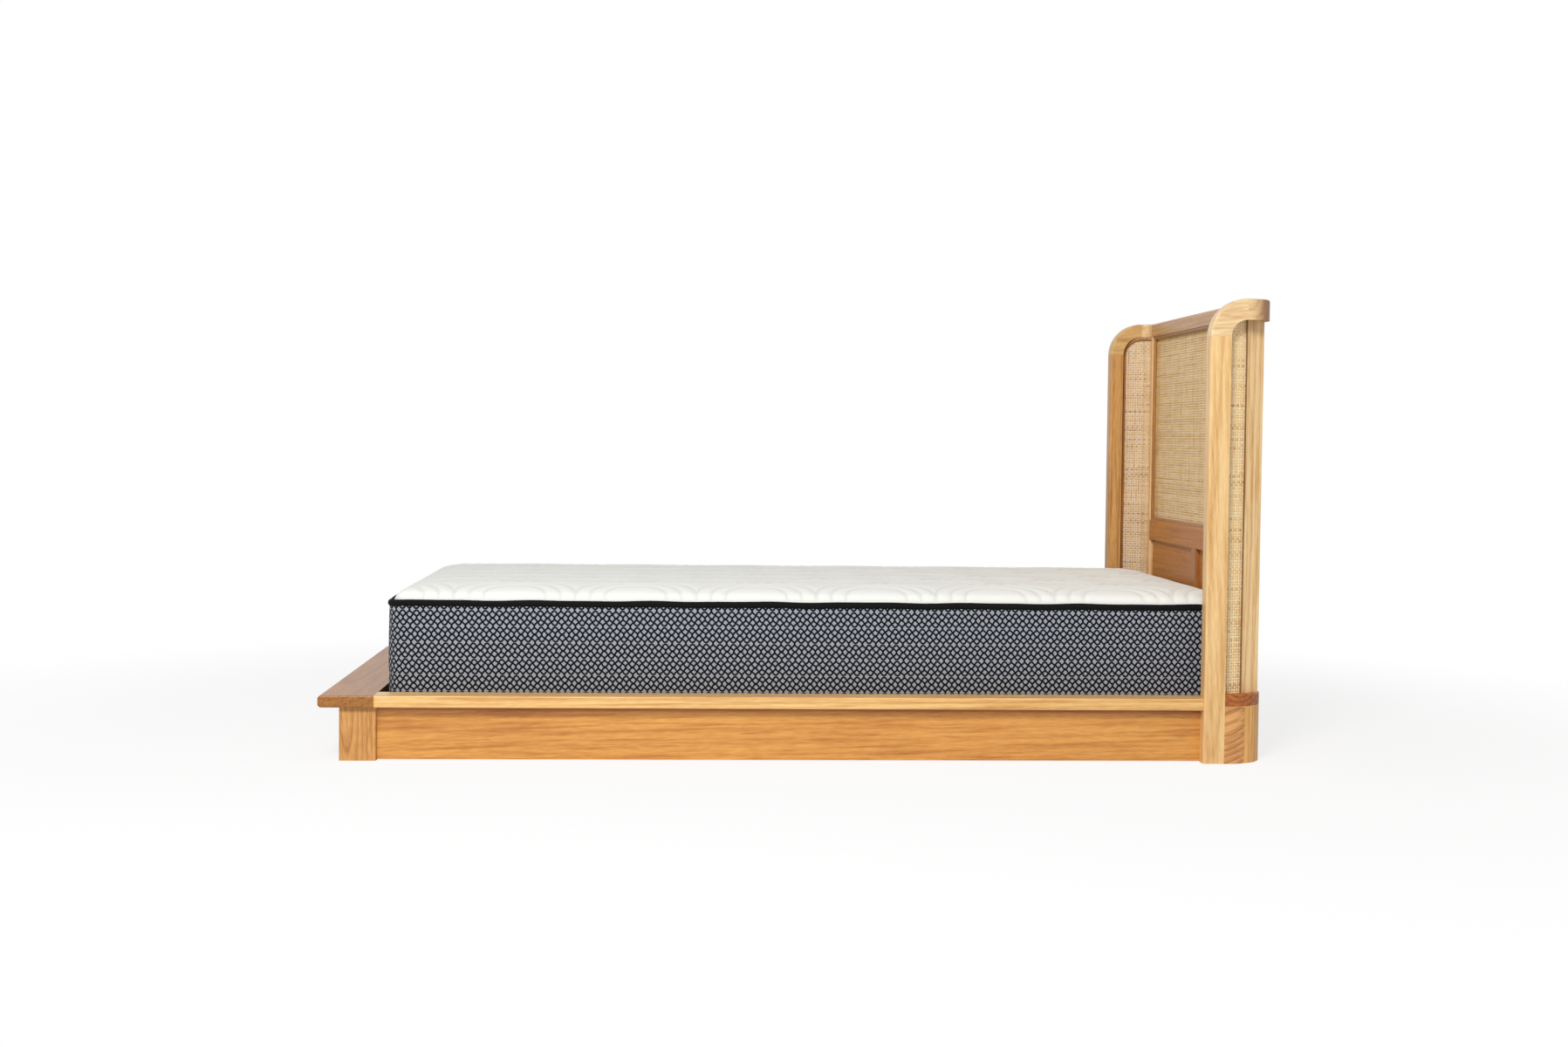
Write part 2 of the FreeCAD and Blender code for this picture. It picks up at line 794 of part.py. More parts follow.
def save_headboard():
    """Write the pieces of the headboard and its bases."""
    cap = cap_corner()
    rail = top_rail()
    save_pair("wing_post", wing_post())
    save_pair("wing_arch", wing_arch())
    save_pair("cap_corner", cap)
    save("top_rail", rail)
    save_pair("corner_post", corner_post(cap, rail))
    save_pair("wing_cane", wing_cane())
    save_pair("wing_bead", wing_bead())
    save("low_rail", low_rail())
    save("bottom_rail", bottom_rail())
    save("muntin", muntin())
    save_pair("lower_panel", lower_panel())
    save("back_cane", back_cane())
    save("back_bead", back_bead())
    save_pair("base_top", base_top())
    split = post_back + base_front_length
    save_pair("base_front_block", base_block((post_back, split)))
    save_pair("base_back_block", base_block((split, back_outer)))
    save("plinth", plinth())
    dowels = [dowel(site, 0) for site in dowel_sites()]
    save("frame_dowels", *dowels, *[mirrored(pin) for pin in dowels])


def save_platform():
    """Write the rails, ledge, legs, slats and their supports."""
    save_pair("side_cap", side_cap())
    save_pair("side_panel", side_panel())
    save_pair("foot_leg", foot_leg())
    save("foot_panel", foot_panel())
    save("foot_ledge", foot_ledge())
    save_pair("side_cleat", side_cleat())
    save("slats", *slats())
    save("centre_beam", centre_beam())
    save("beam_rest_foot", beam_rest((foot_panel_back, foot_panel_back + rest_length)))
    save("beam_rest_head", beam_rest((back_front - rest_length, back_front)))
    places = centre_foot_places()
    save("centre_feet", *[centre_foot(x) for x in places])
    save("foot_glides", *[glide(x) for x in places])
    save_pair("rail_block", rail_block())
    save_pair("rail_bracket", rail_bracket())
    save("bed_bolts", *bed_bolts())


def save_mattress():
    """Write the pieces of the mattress."""
    bottom, lower_seam, upper_seam, tape_top = mattress_levels()
    save("mattress_core", mattress_core())
    save("mattress_top", mattress_top())
    save("mattress_bottom", mattress_bottom())
    save("mattress_top_tape", edge_tape(upper_seam))
    save("mattress_bottom_tape", edge_tape(bottom))


os.makedirs("parts", exist_ok=True)
save_headboard()
save_platform()
save_mattress()
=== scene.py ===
"""Looks of a single bed: lacquered timber, woven cane wings and a loose quilted mattress."""

import logging
import math
from collections.abc import Callable, Iterable
from dataclasses import dataclass, field, replace
from enum import Enum
from typing import Any

import bmesh
import bpy
from bmesh.types import BMEdge, BMesh, BMVert
from bpy.types import Material, Mesh, Node, NodeSocket, NodeTree, Object
from mathutils import Matrix, Vector


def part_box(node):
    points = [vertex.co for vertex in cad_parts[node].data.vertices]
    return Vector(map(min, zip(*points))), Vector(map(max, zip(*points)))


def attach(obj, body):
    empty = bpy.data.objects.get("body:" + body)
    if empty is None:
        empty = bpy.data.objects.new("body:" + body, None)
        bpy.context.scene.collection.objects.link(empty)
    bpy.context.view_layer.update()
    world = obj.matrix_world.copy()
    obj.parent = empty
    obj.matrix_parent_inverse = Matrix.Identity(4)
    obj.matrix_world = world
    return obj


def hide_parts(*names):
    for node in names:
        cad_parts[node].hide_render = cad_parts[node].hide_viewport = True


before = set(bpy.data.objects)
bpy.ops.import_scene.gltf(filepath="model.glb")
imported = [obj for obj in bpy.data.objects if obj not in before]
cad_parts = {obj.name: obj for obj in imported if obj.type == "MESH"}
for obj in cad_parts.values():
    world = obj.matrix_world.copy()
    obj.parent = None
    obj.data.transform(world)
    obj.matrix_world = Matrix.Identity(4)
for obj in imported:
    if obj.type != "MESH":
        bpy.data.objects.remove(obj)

MM = 0.001
FRAME_BODY = "bed_frame"
MATTRESS_BODY = "mattress"
FULL_TURN = 2 * math.pi
QUARTER_TURN = math.pi / 2
WHITE = "#ffffff"
LACQUER_IOR = 1.5
WAVE_LENGTH_AT_SCALE_ONE = FULL_TURN / 20
# A Mix node takes its two colours at inputs 6 and 7 and gives their mix at output 2.
COLOUR_MIX = {"out": 2, "data_type": "RGBA"}
SMOOTH_STEP = {"interpolation_type": "SMOOTHSTEP"}

log = logging.getLogger("bed")


def linear(colour: str) -> tuple[float, float, float, float]:
    """Turn an sRGB hex colour into linear light.

    Args:
        colour: six hex digits after a hash mark.

    Returns:
        Red, green, blue and an alpha of 1.
    """
    shares = [int(colour[place : place + 2], 16) / 255 for place in (1, 3, 5)]
    light = [s / 12.92 if s <= 0.04045 else ((s + 0.055) / 1.055) ** 2.4 for s in shares]
    return (light[0], light[1], light[2], 1.0)


def connect(tree: NodeTree, node: Node, inputs: dict[str | int, Any]) -> None:
    """Give a node's sockets their values and links.

    Args:
        tree: node tree that holds the node.
        node: the node.
        inputs: socket name or number to a value, or to the output socket it is linked from.
    """
    for key, value in inputs.items():
        if isinstance(value, NodeSocket):
            tree.links.new(value, node.inputs[key])
        else:
            node.inputs[key].default_value = value


def add_node(
    tree: NodeTree, kind: str, inputs: dict[str | int, Any] | None = None, out: str | int = 0, **settings: Any
) -> NodeSocket:
    """Add a node with its settings, values and links.

    Args:
        tree: node tree that gets the node.
        kind: Blender's name of the node type, after ShaderNode.
        inputs: what connect takes.
        out: name or number of the output to return.
        settings: properties of the node; stops gives a colour ramp its places and hex colours.

    Returns:
        An output socket of the new node.
    """
    node = tree.nodes.new(f"ShaderNode{kind}")
    stops = settings.pop("stops", None)
    for name, value in settings.items():
        setattr(node, name, value)
    if stops:
        ramp = node.color_ramp.elements
        while len(ramp) < len(stops):
            ramp.new(1.0)
        for element, (place, colour) in zip(ramp, stops):
            element.position = place
            element.color = linear(colour)
    connect(tree, node, inputs or {})
    return node.outputs[out]


def new_material(name: str) -> tuple[Material, NodeTree, Node, NodeSocket]:
    """Start a material with one surface shader.

    Args:
        name: what the material is made of.

    Returns:
        The material, its node tree, its surface shader and its object coordinates.
    """
    material = bpy.data.materials.new(name)
    material.use_nodes = True
    tree = material.node_tree
    return material, tree, tree.nodes["Principled BSDF"], add_node(tree, "TexCoord", out="Object")


class Grain(Enum):
    """Way that the fibres of a board run, with the turn that lays them along Z."""

    ALONG_BED = (0.0, -QUARTER_TURN, 0.0)
    ACROSS_BED = (QUARTER_TURN, 0.0, 0.0)
    UPRIGHT = (0.0, 0.0, 0.0)


@dataclass(frozen=True)
class TimberFinish:
    """Plantation hardwood under a satin clear lacquer: soft growth rings, fine fibres, a drifting warm tone.

    A pair of millimetres that sizes a pattern is its size across and along the grain.
    """

    name: str
    early: str
    late: str
    grain: Grain
    pith_mm: tuple[float, float] = (70.0, 160.0)
    tilt_deg: tuple[float, float] = (1.4, 0.8)
    ring_mm: float = 9.0
    ring_strength: float = 0.75
    wander_mm: float = 9.0
    bend_mm: tuple[float, float] = (90.91, 454.55)
    # Dark late wood ends each year: place in the year and share as a grey.
    year: tuple[tuple[float, str], ...] = (
        (0.0, "#b4b4b4"),
        (0.1, "#4d4d4d"),
        (0.45, "#595959"),
        (0.8, "#b4b4b4"),
        (0.93, WHITE),
        (1.0, "#b4b4b4"),
    )
    # Real fibres are a third as wide; finer ones would not show.
    fibre_mm: tuple[float, float] = (3.0, 31.25)
    fibre_share: float = 0.62
    fibre_relief: float = 0.12
    fibre_depth_mm: float = 0.3
    drift_mm: tuple[float, float] = (71.43, 625.0)
    drift_share: float = 0.4
    streak_mm: tuple[float, float] = (7.0, 250.0)
    streak_band: tuple[float, float] = (0.45, 0.8)
    streak_share: float = 0.75
    knot_colour: str = "#5d3a1c"
    knot_share: float = 0.0
    knot_gap_mm: tuple[float, float] = (45.45, 111.11)
    knot_shift: tuple[float, float] = (0.3, 0.2)
    knot_band: tuple[float, float] = (0.05, 0.12)
    # Painted shade towards one edge or end: its colour, the axis of its gradient and how strong it is.
    painted_shade_colour: str = ""
    edge_axis: int = 0
    # Where the painted shade starts and where it is full, counted from the board's middle.
    edge_mm: tuple[float, float] = (0.0, 0.0)
    painted_shade_share: float = 0.9
    roughness: float = 0.36
    gloss_spread: tuple[float, float] = (-0.05, 0.07)

    def material(self, node: str, seed: float) -> Material:
        """Make the finish for one board, with rings round a pith near that board.

        Args:
            node: name of the board's CAD node.
            seed: shift along the grain, so that no two boards match.

        Returns:
            The board's own material.
        """
        low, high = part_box(node)
        material, tree, shader, coords = new_material(f"{self.name}_{node}")
        centred = add_node(tree, "Mapping", {"Vector": coords, "Location": -(low + high) / 2})
        turned = add_node(tree, "Mapping", {"Vector": centred, "Rotation": self.grain.value})
        pith = (self.pith_mm[0] * MM, self.pith_mm[1] * MM, seed)
        tilt = (math.radians(self.tilt_deg[0]), math.radians(self.tilt_deg[1]), 0.0)
        placed = add_node(tree, "Mapping", {"Vector": turned, "Location": pith, "Rotation": tilt})
        fibres = self._noise(tree, placed, self.fibre_mm, 3.0)
        drift = self._noise(tree, placed, self.drift_mm, 1.0)
        streaks = self._noise(tree, placed, self.streak_mm, 2.0)
        least, most = self.streak_band
        band = {"Value": streaks, "From Min": least, "From Max": most, "To Max": self.streak_share}
        streaky = add_node(tree, "MapRange", band)
        early, late = linear(self.early), linear(self.late)
        deeper = [a + (b - a) * self.drift_share for a, b in zip(early, late)]
        colour = add_node(tree, "Mix", {0: drift, 6: early, 7: deeper}, **COLOUR_MIX)
        for share in (streaky, self._rings(tree, placed)):
            colour = add_node(tree, "Mix", {0: share, 6: colour, 7: late}, **COLOUR_MIX)
        fibrous = {0: self.fibre_share, 6: colour, 7: fibres}
        colour = add_node(tree, "Mix", fibrous, blend_type="SOFT_LIGHT", **COLOUR_MIX)
        if self.knot_share:
            colour = self._knots(tree, turned, seed, colour)
        # Painted shade towards one edge, where the board lies in shade.
        if self.painted_shade_colour:
            colour = self._painted_shade(tree, turned, colour)
        relief = {"Strength": self.fibre_relief, "Distance": self.fibre_depth_mm * MM, "Height": fibres}
        least, most = (self.roughness + spread for spread in self.gloss_spread)
        gloss = add_node(tree, "MapRange", {"Value": fibres, "To Min": least, "To Max": most})
        bump = add_node(tree, "Bump", relief)
        connect(tree, shader, {"Base Color": colour, "Normal": bump, "Roughness": gloss, "IOR": LACQUER_IOR})
        return material

    def _noise(
        self, tree: NodeTree, place: NodeSocket, size_mm: tuple[float, float], detail: float, out: int = 0
    ) -> NodeSocket:
        """Noise that is stretched along the grain.

        Args:
            tree: the material's node tree.
            place: coordinates with the grain along Z.
            size_mm: size of a cell across and along the grain.
            detail: octaves of finer noise.
            out: 0 for one value, and 1 for three of them.

        Returns:
            The noise.
        """
        across, along = (1 / (size * MM) for size in size_mm)
        scaled = add_node(tree, "Mapping", {"Vector": place, "Scale": (across, across, along)})
        return add_node(tree, "TexNoise", {"Vector": scaled, "Scale": 1.0, "Detail": detail}, out)

    def _rings(self, tree: NodeTree, place: NodeSocket) -> NodeSocket:
        """Growth rings round the pith, pale for most of a year and dark at its end.

        Args:
            tree: the material's node tree.
            place: coordinates with the pith along Z.

        Returns:
            Share of the dark late wood, from 0 to the finish's ring strength.
        """
        wander = self._noise(tree, place, self.bend_mm, 2.0, out=1)
        centred = add_node(tree, "VectorMath", {0: wander, 1: (0.5, 0.5, 0.5)}, operation="SUBTRACT")
        reach = (self.wander_mm * MM,) * 3
        moved = add_node(tree, "VectorMath", {0: centred, 1: reach, 2: place}, operation="MULTIPLY_ADD")
        scale = WAVE_LENGTH_AT_SCALE_ONE / (self.ring_mm * MM)
        wave = add_node(
            tree,
            "TexWave",
            {"Vector": moved, "Scale": scale, "Distortion": 0.0},
            out=1,
            wave_type="RINGS",
            rings_direction="Z",
            wave_profile="SAW",
        )
        shade = add_node(tree, "ValToRGB", {"Fac": wave}, stops=self.year)
        return add_node(tree, "Math", {0: shade, 1: self.ring_strength}, operation="MULTIPLY")

    def _painted_shade(self, tree: NodeTree, place: NodeSocket, colour: NodeSocket) -> NodeSocket:
        """Painted shade: a deeper tone towards an edge or end of the board, where shade falls on it.

        Args:
            tree: the material's node tree.
            place: coordinates from the board's middle, with the grain along Z.
            colour: colour of the board without the painted shade.

        Returns:
            Colour of the board with the painted shade.
        """
        off = add_node(tree, "SeparateXYZ", {0: place}, self.edge_axis)
        first, last = (edge * MM for edge in self.edge_mm)
        band = {"Value": off, "From Min": first, "From Max": last, "To Max": self.painted_shade_share}
        share = add_node(tree, "MapRange", band, **SMOOTH_STEP)
        return add_node(tree, "Mix", {0: share, 6: colour, 7: linear(self.painted_shade_colour)}, **COLOUR_MIX)

    def _knots(self, tree: NodeTree, place: NodeSocket, seed: float, colour: NodeSocket) -> NodeSocket:
        """Small dark pin knots, longer along the grain than across it.

        Args:
            tree: the material's node tree.
            place: coordinates with the grain along Z.
            seed: shift along the grain.
            colour: colour of the board without knots.

        Returns:
            Colour of the board with knots.
        """
        across, along = (1 / (gap * MM) for gap in self.knot_gap_mm)
        cells = {"Vector": place, "Location": (*self.knot_shift, seed), "Scale": (across, across, along)}
        far = add_node(tree, "TexVoronoi", {"Vector": add_node(tree, "Mapping", cells), "Scale": 1.0})
        least, most = self.knot_band
        band = {"Value": far, "From Min": least, "From Max": most, "To Min": 1.0, "To Max": 0.0}
        core = add_node(tree, "MapRange", band, **SMOOTH_STEP)
        draw = far.node.outputs[1]
        chosen = add_node(tree, "Math", {0: draw, 1: 1 - self.knot_share}, operation="GREATER_THAN")
        mask = add_node(tree, "Math", {0: core, 1: chosen}, operation="MULTIPLY")
        return add_node(tree, "Mix", {0: mask, 6: colour, 7: linear(self.knot_colour)}, **COLOUR_MIX)


@dataclass(frozen=True)
class CaneFinish:
    """Split rattan peel: straw-coloured strands with a dry sheen, some stained along part of their length."""

    name: str
    start: Vector
    across: Vector
    run: Vector
    pitch: float
    stain: float
    tones: tuple[str, str, str]
    tone_places: tuple[float, float, float] = (0.4, 0.7, 0.95)
    # Stains are about 90 mm long; strands stand 7.3 cells apart in the noise, so that no two match.
    stain_cells: tuple[float, float, float] = (11.0, 7.3, 1.0)
    roughness: float = 0.5

    def material(self) -> Material:
        """Make the strand material, with a tone of its own for each strand.

        Returns:
            The material.
        """
        material, tree, shader, coords = new_material(self.name)
        place = add_node(tree, "VectorMath", {0: coords, 1: self.start}, operation="SUBTRACT")
        side, along = (
            add_node(tree, "VectorMath", {0: place, 1: way}, "Value", operation="DOT_PRODUCT")
            for way in (self.across / self.pitch, self.run)
        )
        number = add_node(tree, "Math", {0: side}, operation="ROUND")
        own = add_node(tree, "TexWhiteNoise", {"W": number}, noise_dimensions="1D")
        spot = add_node(tree, "CombineXYZ", {0: along, 1: number})
        stretched = add_node(tree, "Mapping", {"Vector": spot, "Scale": self.stain_cells})
        patches = add_node(tree, "TexNoise", {"Vector": stretched, "Scale": 1.0, "Detail": 2.0})
        tone = add_node(tree, "Math", {0: own, 1: self.stain, 2: patches}, operation="MULTIPLY_ADD")
        colour = add_node(tree, "ValToRGB", {"Fac": tone}, stops=list(zip(self.tone_places, self.tones)))
        connect(tree, shader, {"Base Color": colour, "Roughness": self.roughness, "IOR": LACQUER_IOR})
        return material


@dataclass(frozen=True)
class PlainFinish:
    """Small fittings: plated steel or moulded nylon, with a faint mottle."""

    name: str
    colour: str
    worn: str
    metallic: float
    roughness: float
    mottle_mm: float = 6.0

    def material(self) -> Material:
        """Make the fitting's material.

        Returns:
            The material.
        """
        material, tree, shader, coords = new_material(self.name)
        cells = {"Vector": coords, "Scale": 1 / (self.mottle_mm * MM), "Detail": 4.0}
        mottle = add_node(tree, "TexNoise", cells)
        colour = add_node(tree, "ValToRGB", {"Fac": mottle}, stops=[(0.35, self.colour), (0.7, self.worn)])
        connect(tree, shader, {"Base Color": colour, "Metallic": self.metallic, "Roughness": self.roughness})
        return material


@dataclass(frozen=True)
class KnitFinish:
    """White double-knit ticking: soft, matt and slightly warm, with fine loops in rows."""

    name: str = "white_knit_ticking"
    colour: str = "#f1f1ec"
    shadow: str = "#e8e8e2"
    # Thread along the quilting, also standing for painted shade of the quilting grooves.
    thread: str = "#b9b9b2"
    # Real loops are a third as wide; finer ones would not show.
    loop_mm: float = 3.0
    loop_depth_mm: float = 0.3
    thread_and_groove_shaded: bool = False

    def material(self) -> Material:
        """Make the ticking, with its thread and the painted shade of its quilting grooves where the piece
        carries them as an attribute.

        Returns:
            The material.
        """
        material, tree, shader, coords = new_material(self.name)
        scaled = add_node(tree, "Mapping", {"Vector": coords, "Scale": (1 / (self.loop_mm * MM),) * 3})
        loops = add_node(tree, "TexVoronoi", {"Vector": scaled, "Scale": 1.0, "Randomness": 0.4})
        colour = add_node(tree, "ValToRGB", {"Fac": loops}, stops=[(0.1, self.colour), (0.9, self.shadow)])
        if self.thread_and_groove_shaded:
            line = add_node(tree, "Attribute", out="Fac", attribute_name="thread_and_groove_shade")
            colour = add_node(tree, "Mix", {0: line, 6: colour, 7: linear(self.thread)}, **COLOUR_MIX)
        relief = {"Strength": 0.25, "Distance": self.loop_depth_mm * MM, "Height": loops}
        bump = add_node(tree, "Bump", relief, invert=True)
        connect(tree, shader, {"Base Color": colour, "Normal": bump, "Roughness": 0.9, "Sheen Weight": 0.15})
        return material


@dataclass(frozen=True)
class BorderFinish:
    """Woven mattress border: grey cells between navy-black interlaced waves, on the border's own UV map."""

    name: str = "wave_lattice_border_cloth"
    cell: str = "#a7abb5"
    cell_low: str = "#8b8f99"
    line: str = "#06070a"
    pitch_mm: tuple[float, float] = (29.85, 35.5)
    line_mm: float = 4.1
    soft_mm: float = 0.7
    side_swing: float = 0.25
    row_swing: float = 0.21
    row_place: float = 0.27
    # Real threads are finer, but these are as fine as shows.
    thread_mm: float = 2.381
    thread_relief: float = 0.3
    relief_mm: float = 0.6

    def material(self) -> Material:
        """Make the border cloth: two families of upright waves and two of level ones.

        Returns:
            The material.
        """
        material, tree, shader, coords = new_material(self.name)
        uv = add_node(tree, "UVMap", uv_map="border")
        across = add_node(tree, "SeparateXYZ", {0: uv})
        rise = across.node.outputs[1]
        wide, tall = self.pitch_mm
        side, row, place = self.side_swing, self.row_swing, self.row_place
        nearest = self._wave_gap(tree, across, rise, side, side, wide, tall)
        for gap in (
            self._wave_gap(tree, across, rise, -side, -side, wide, tall),
            self._wave_gap(tree, rise, across, place, -row, tall, wide),
            self._wave_gap(tree, rise, across, -place, row, tall, wide),
        ):
            nearest = add_node(tree, "Math", {0: nearest, 1: gap}, operation="MINIMUM")
        half = self.line_mm / 2
        band = {"Value": nearest, "From Min": half - self.soft_mm, "From Max": half + self.soft_mm}
        cover = add_node(tree, "MapRange", band, **SMOOTH_STEP)
        cells = {"Vector": coords, "Scale": 1 / (self.thread_mm * MM), "Detail": 2.0}
        thread = add_node(tree, "TexNoise", cells)
        tones = {0: thread, 6: linear(self.cell_low), 7: linear(self.cell)}
        cell = add_node(tree, "Mix", tones, **COLOUR_MIX)
        colour = add_node(tree, "Mix", {0: cover, 6: linear(self.line), 7: cell}, **COLOUR_MIX)
        height = {0: thread, 1: self.thread_relief, 2: cover}
        relief = add_node(tree, "Math", height, operation="MULTIPLY_ADD")
        bump = add_node(tree, "Bump", {"Strength": 0.3, "Distance": self.relief_mm * MM, "Height": relief})
        cloth = {"Base Color": colour, "Normal": bump, "Roughness": 0.95, "Specular IOR Level": 0.15}
        connect(tree, shader, cloth)
        return material

    def _wave_gap(
        self,
        tree: NodeTree,
        side: NodeSocket,
        run: NodeSocket,
        place: float,
        swing: float,
        side_mm: float,
        run_mm: float,
    ) -> NodeSocket:
        """Distance to the nearest of a family of like waves, one in each repeat.

        Args:
            tree: the material's node tree.
            side: repeats counted across the waves.
            run: repeats counted along the waves.
            place: middle of the wave in its repeat.
            swing: how far the wave swings to each side, in repeats.
            side_mm: length of a repeat across the waves.
            run_mm: length of a repeat along the waves.

        Returns:
            The distance in millimetres, square to the wave.
        """
        angle = add_node(tree, "Math", {0: run, 1: FULL_TURN}, operation="MULTIPLY")
        cosine = add_node(tree, "Math", {0: angle}, operation="COSINE")
        sine = add_node(tree, "Math", {0: angle}, operation="SINE")
        centre = add_node(tree, "Math", {0: cosine, 1: swing, 2: place}, operation="MULTIPLY_ADD")
        off = add_node(tree, "Math", {0: side, 1: centre}, operation="SUBTRACT")
        near = add_node(tree, "Math", {0: off, 1: 0.5}, operation="PINGPONG")
        steepest = swing * FULL_TURN * side_mm / run_mm
        slope = add_node(tree, "Math", {0: sine, 1: steepest}, operation="MULTIPLY")
        square = add_node(tree, "Math", {0: slope, 1: slope, 2: 1.0}, operation="MULTIPLY_ADD")
        stretch = add_node(tree, "Math", {0: square}, operation="SQRT")
        length = add_node(tree, "Math", {0: near, 1: side_mm}, operation="MULTIPLY")
        return add_node(tree, "Math", {0: length, 1: stretch}, operation="DIVIDE")


@dataclass(frozen=True)
class TapeFinish:
    """Black woven binding tape: matt, with fine ribs across its width."""

    name: str = "black_woven_tape"
    colour: str = "#040405"
    rib: str = "#0c0c0e"
    rib_mm: float = 2.4
    rib_depth_mm: float = 0.3

    def material(self) -> Material:
        """Make the tape.

        Returns:
            The material.
        """
        material, tree, shader, coords = new_material(self.name)
        scale = WAVE_LENGTH_AT_SCALE_ONE / (self.rib_mm * MM)
        cells = {"Vector": coords, "Scale": scale, "Distortion": 0.6}
        ribs = add_node(tree, "TexWave", cells, out=1, bands_direction="DIAGONAL")
        colour = add_node(tree, "ValToRGB", {"Fac": ribs}, stops=[(0.2, self.colour), (0.9, self.rib)])
        bump = add_node(tree, "Bump", {"Strength": 0.3, "Distance": self.rib_depth_mm * MM, "Height": ribs})
        tape = {"Base Color": colour, "Normal": bump, "Roughness": 0.9, "Specular IOR Level": 0.2}
        connect(tree, shader, tape)
        return material


def new_object(name: str, data: bpy.types.ID) -> Object:
    """Put data in the scene as an object."""
    made = bpy.data.objects.new(name, data)
    bpy.context.scene.collection.objects.link(made)
    return made


def new_piece(name: str, mesh: Mesh, body: str) -> Object:
    """Put a finished mesh in the scene as a piece that rides on a body.

    Args:
        name: name of the piece.
        mesh: its mesh, in the bed's frame.
        body: CAD body it moves with.

    Returns:
        The new object.
    """
    piece = new_object(name, mesh)
    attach(piece, body)
    log.info("piece %s: %d faces", name, len(mesh.polygons))
    return piece


def dress(node: str, material: Material) -> None:
    """Give a CAD node a material of its own.

    Args:
        node: name of the node.
        material: its finish.
    """
    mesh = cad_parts[node].data
    mesh.materials.clear()
    mesh.materials.append(material)
    log.info("dressed %s in %s", node, material.name)


def finished_mesh(piece: Object) -> Mesh:
    """Mesh of an object with its modifiers applied."""
    graph = bpy.context.evaluated_depsgraph_get()
    return bpy.data.meshes.new_from_object(piece.evaluated_get(graph))


def to_mesh(bm: BMesh, mesh: Mesh | str) -> Mesh:
    """Write a bmesh to a mesh, or to a new one of that name, and free it."""
    if isinstance(mesh, str):
        mesh = bpy.data.meshes.new(mesh)
    bm.to_mesh(mesh)
    bm.free()
    return mesh


def from_mesh(mesh: Mesh) -> BMesh:
    """Copy of a mesh as a bmesh."""
    bm = bmesh.new()
    bm.from_mesh(mesh)
    return bm


def smooth(mesh: Mesh) -> None:
    """Shade a mesh's faces smoothly."""
    mesh.polygons.foreach_set("use_smooth", [True] * len(mesh.polygons))


def open_edges(bm: BMesh) -> list[BMEdge]:
    """Edges that have a face on one side only."""
    return [edge for edge in bm.edges if edge.is_boundary]


def edges_at(verts: Iterable[BMVert]) -> list[BMEdge]:
    """Edges that end at any of the points, each of them once."""
    return list(dict.fromkeys(edge for vert in verts for edge in vert.link_edges))


def close(bm: BMesh) -> None:
    """Close each opening with a flat face, and turn the faces outwards."""
    bmesh.ops.edgeloop_fill(bm, edges=open_edges(bm))
    bmesh.ops.recalc_face_normals(bm, faces=bm.faces)


def extruded(bm: BMesh, edges: list[BMEdge], move: Vector) -> list[BMEdge]:
    """Extrude edges by a move.

    Args:
        bm: mesh that holds the edges.
        edges: edges to extrude.
        move: how far the new edges lie from the old.

    Returns:
        The new edges, without those that join them to the old.
    """
    made = bmesh.ops.extrude_edge_only(bm, edges=edges)["geom"]
    fresh = {part for part in made if isinstance(part, BMVert)}
    bmesh.ops.translate(bm, verts=list(fresh), vec=move)
    return [part for part in made if isinstance(part, BMEdge) and fresh.issuperset(part.verts)]


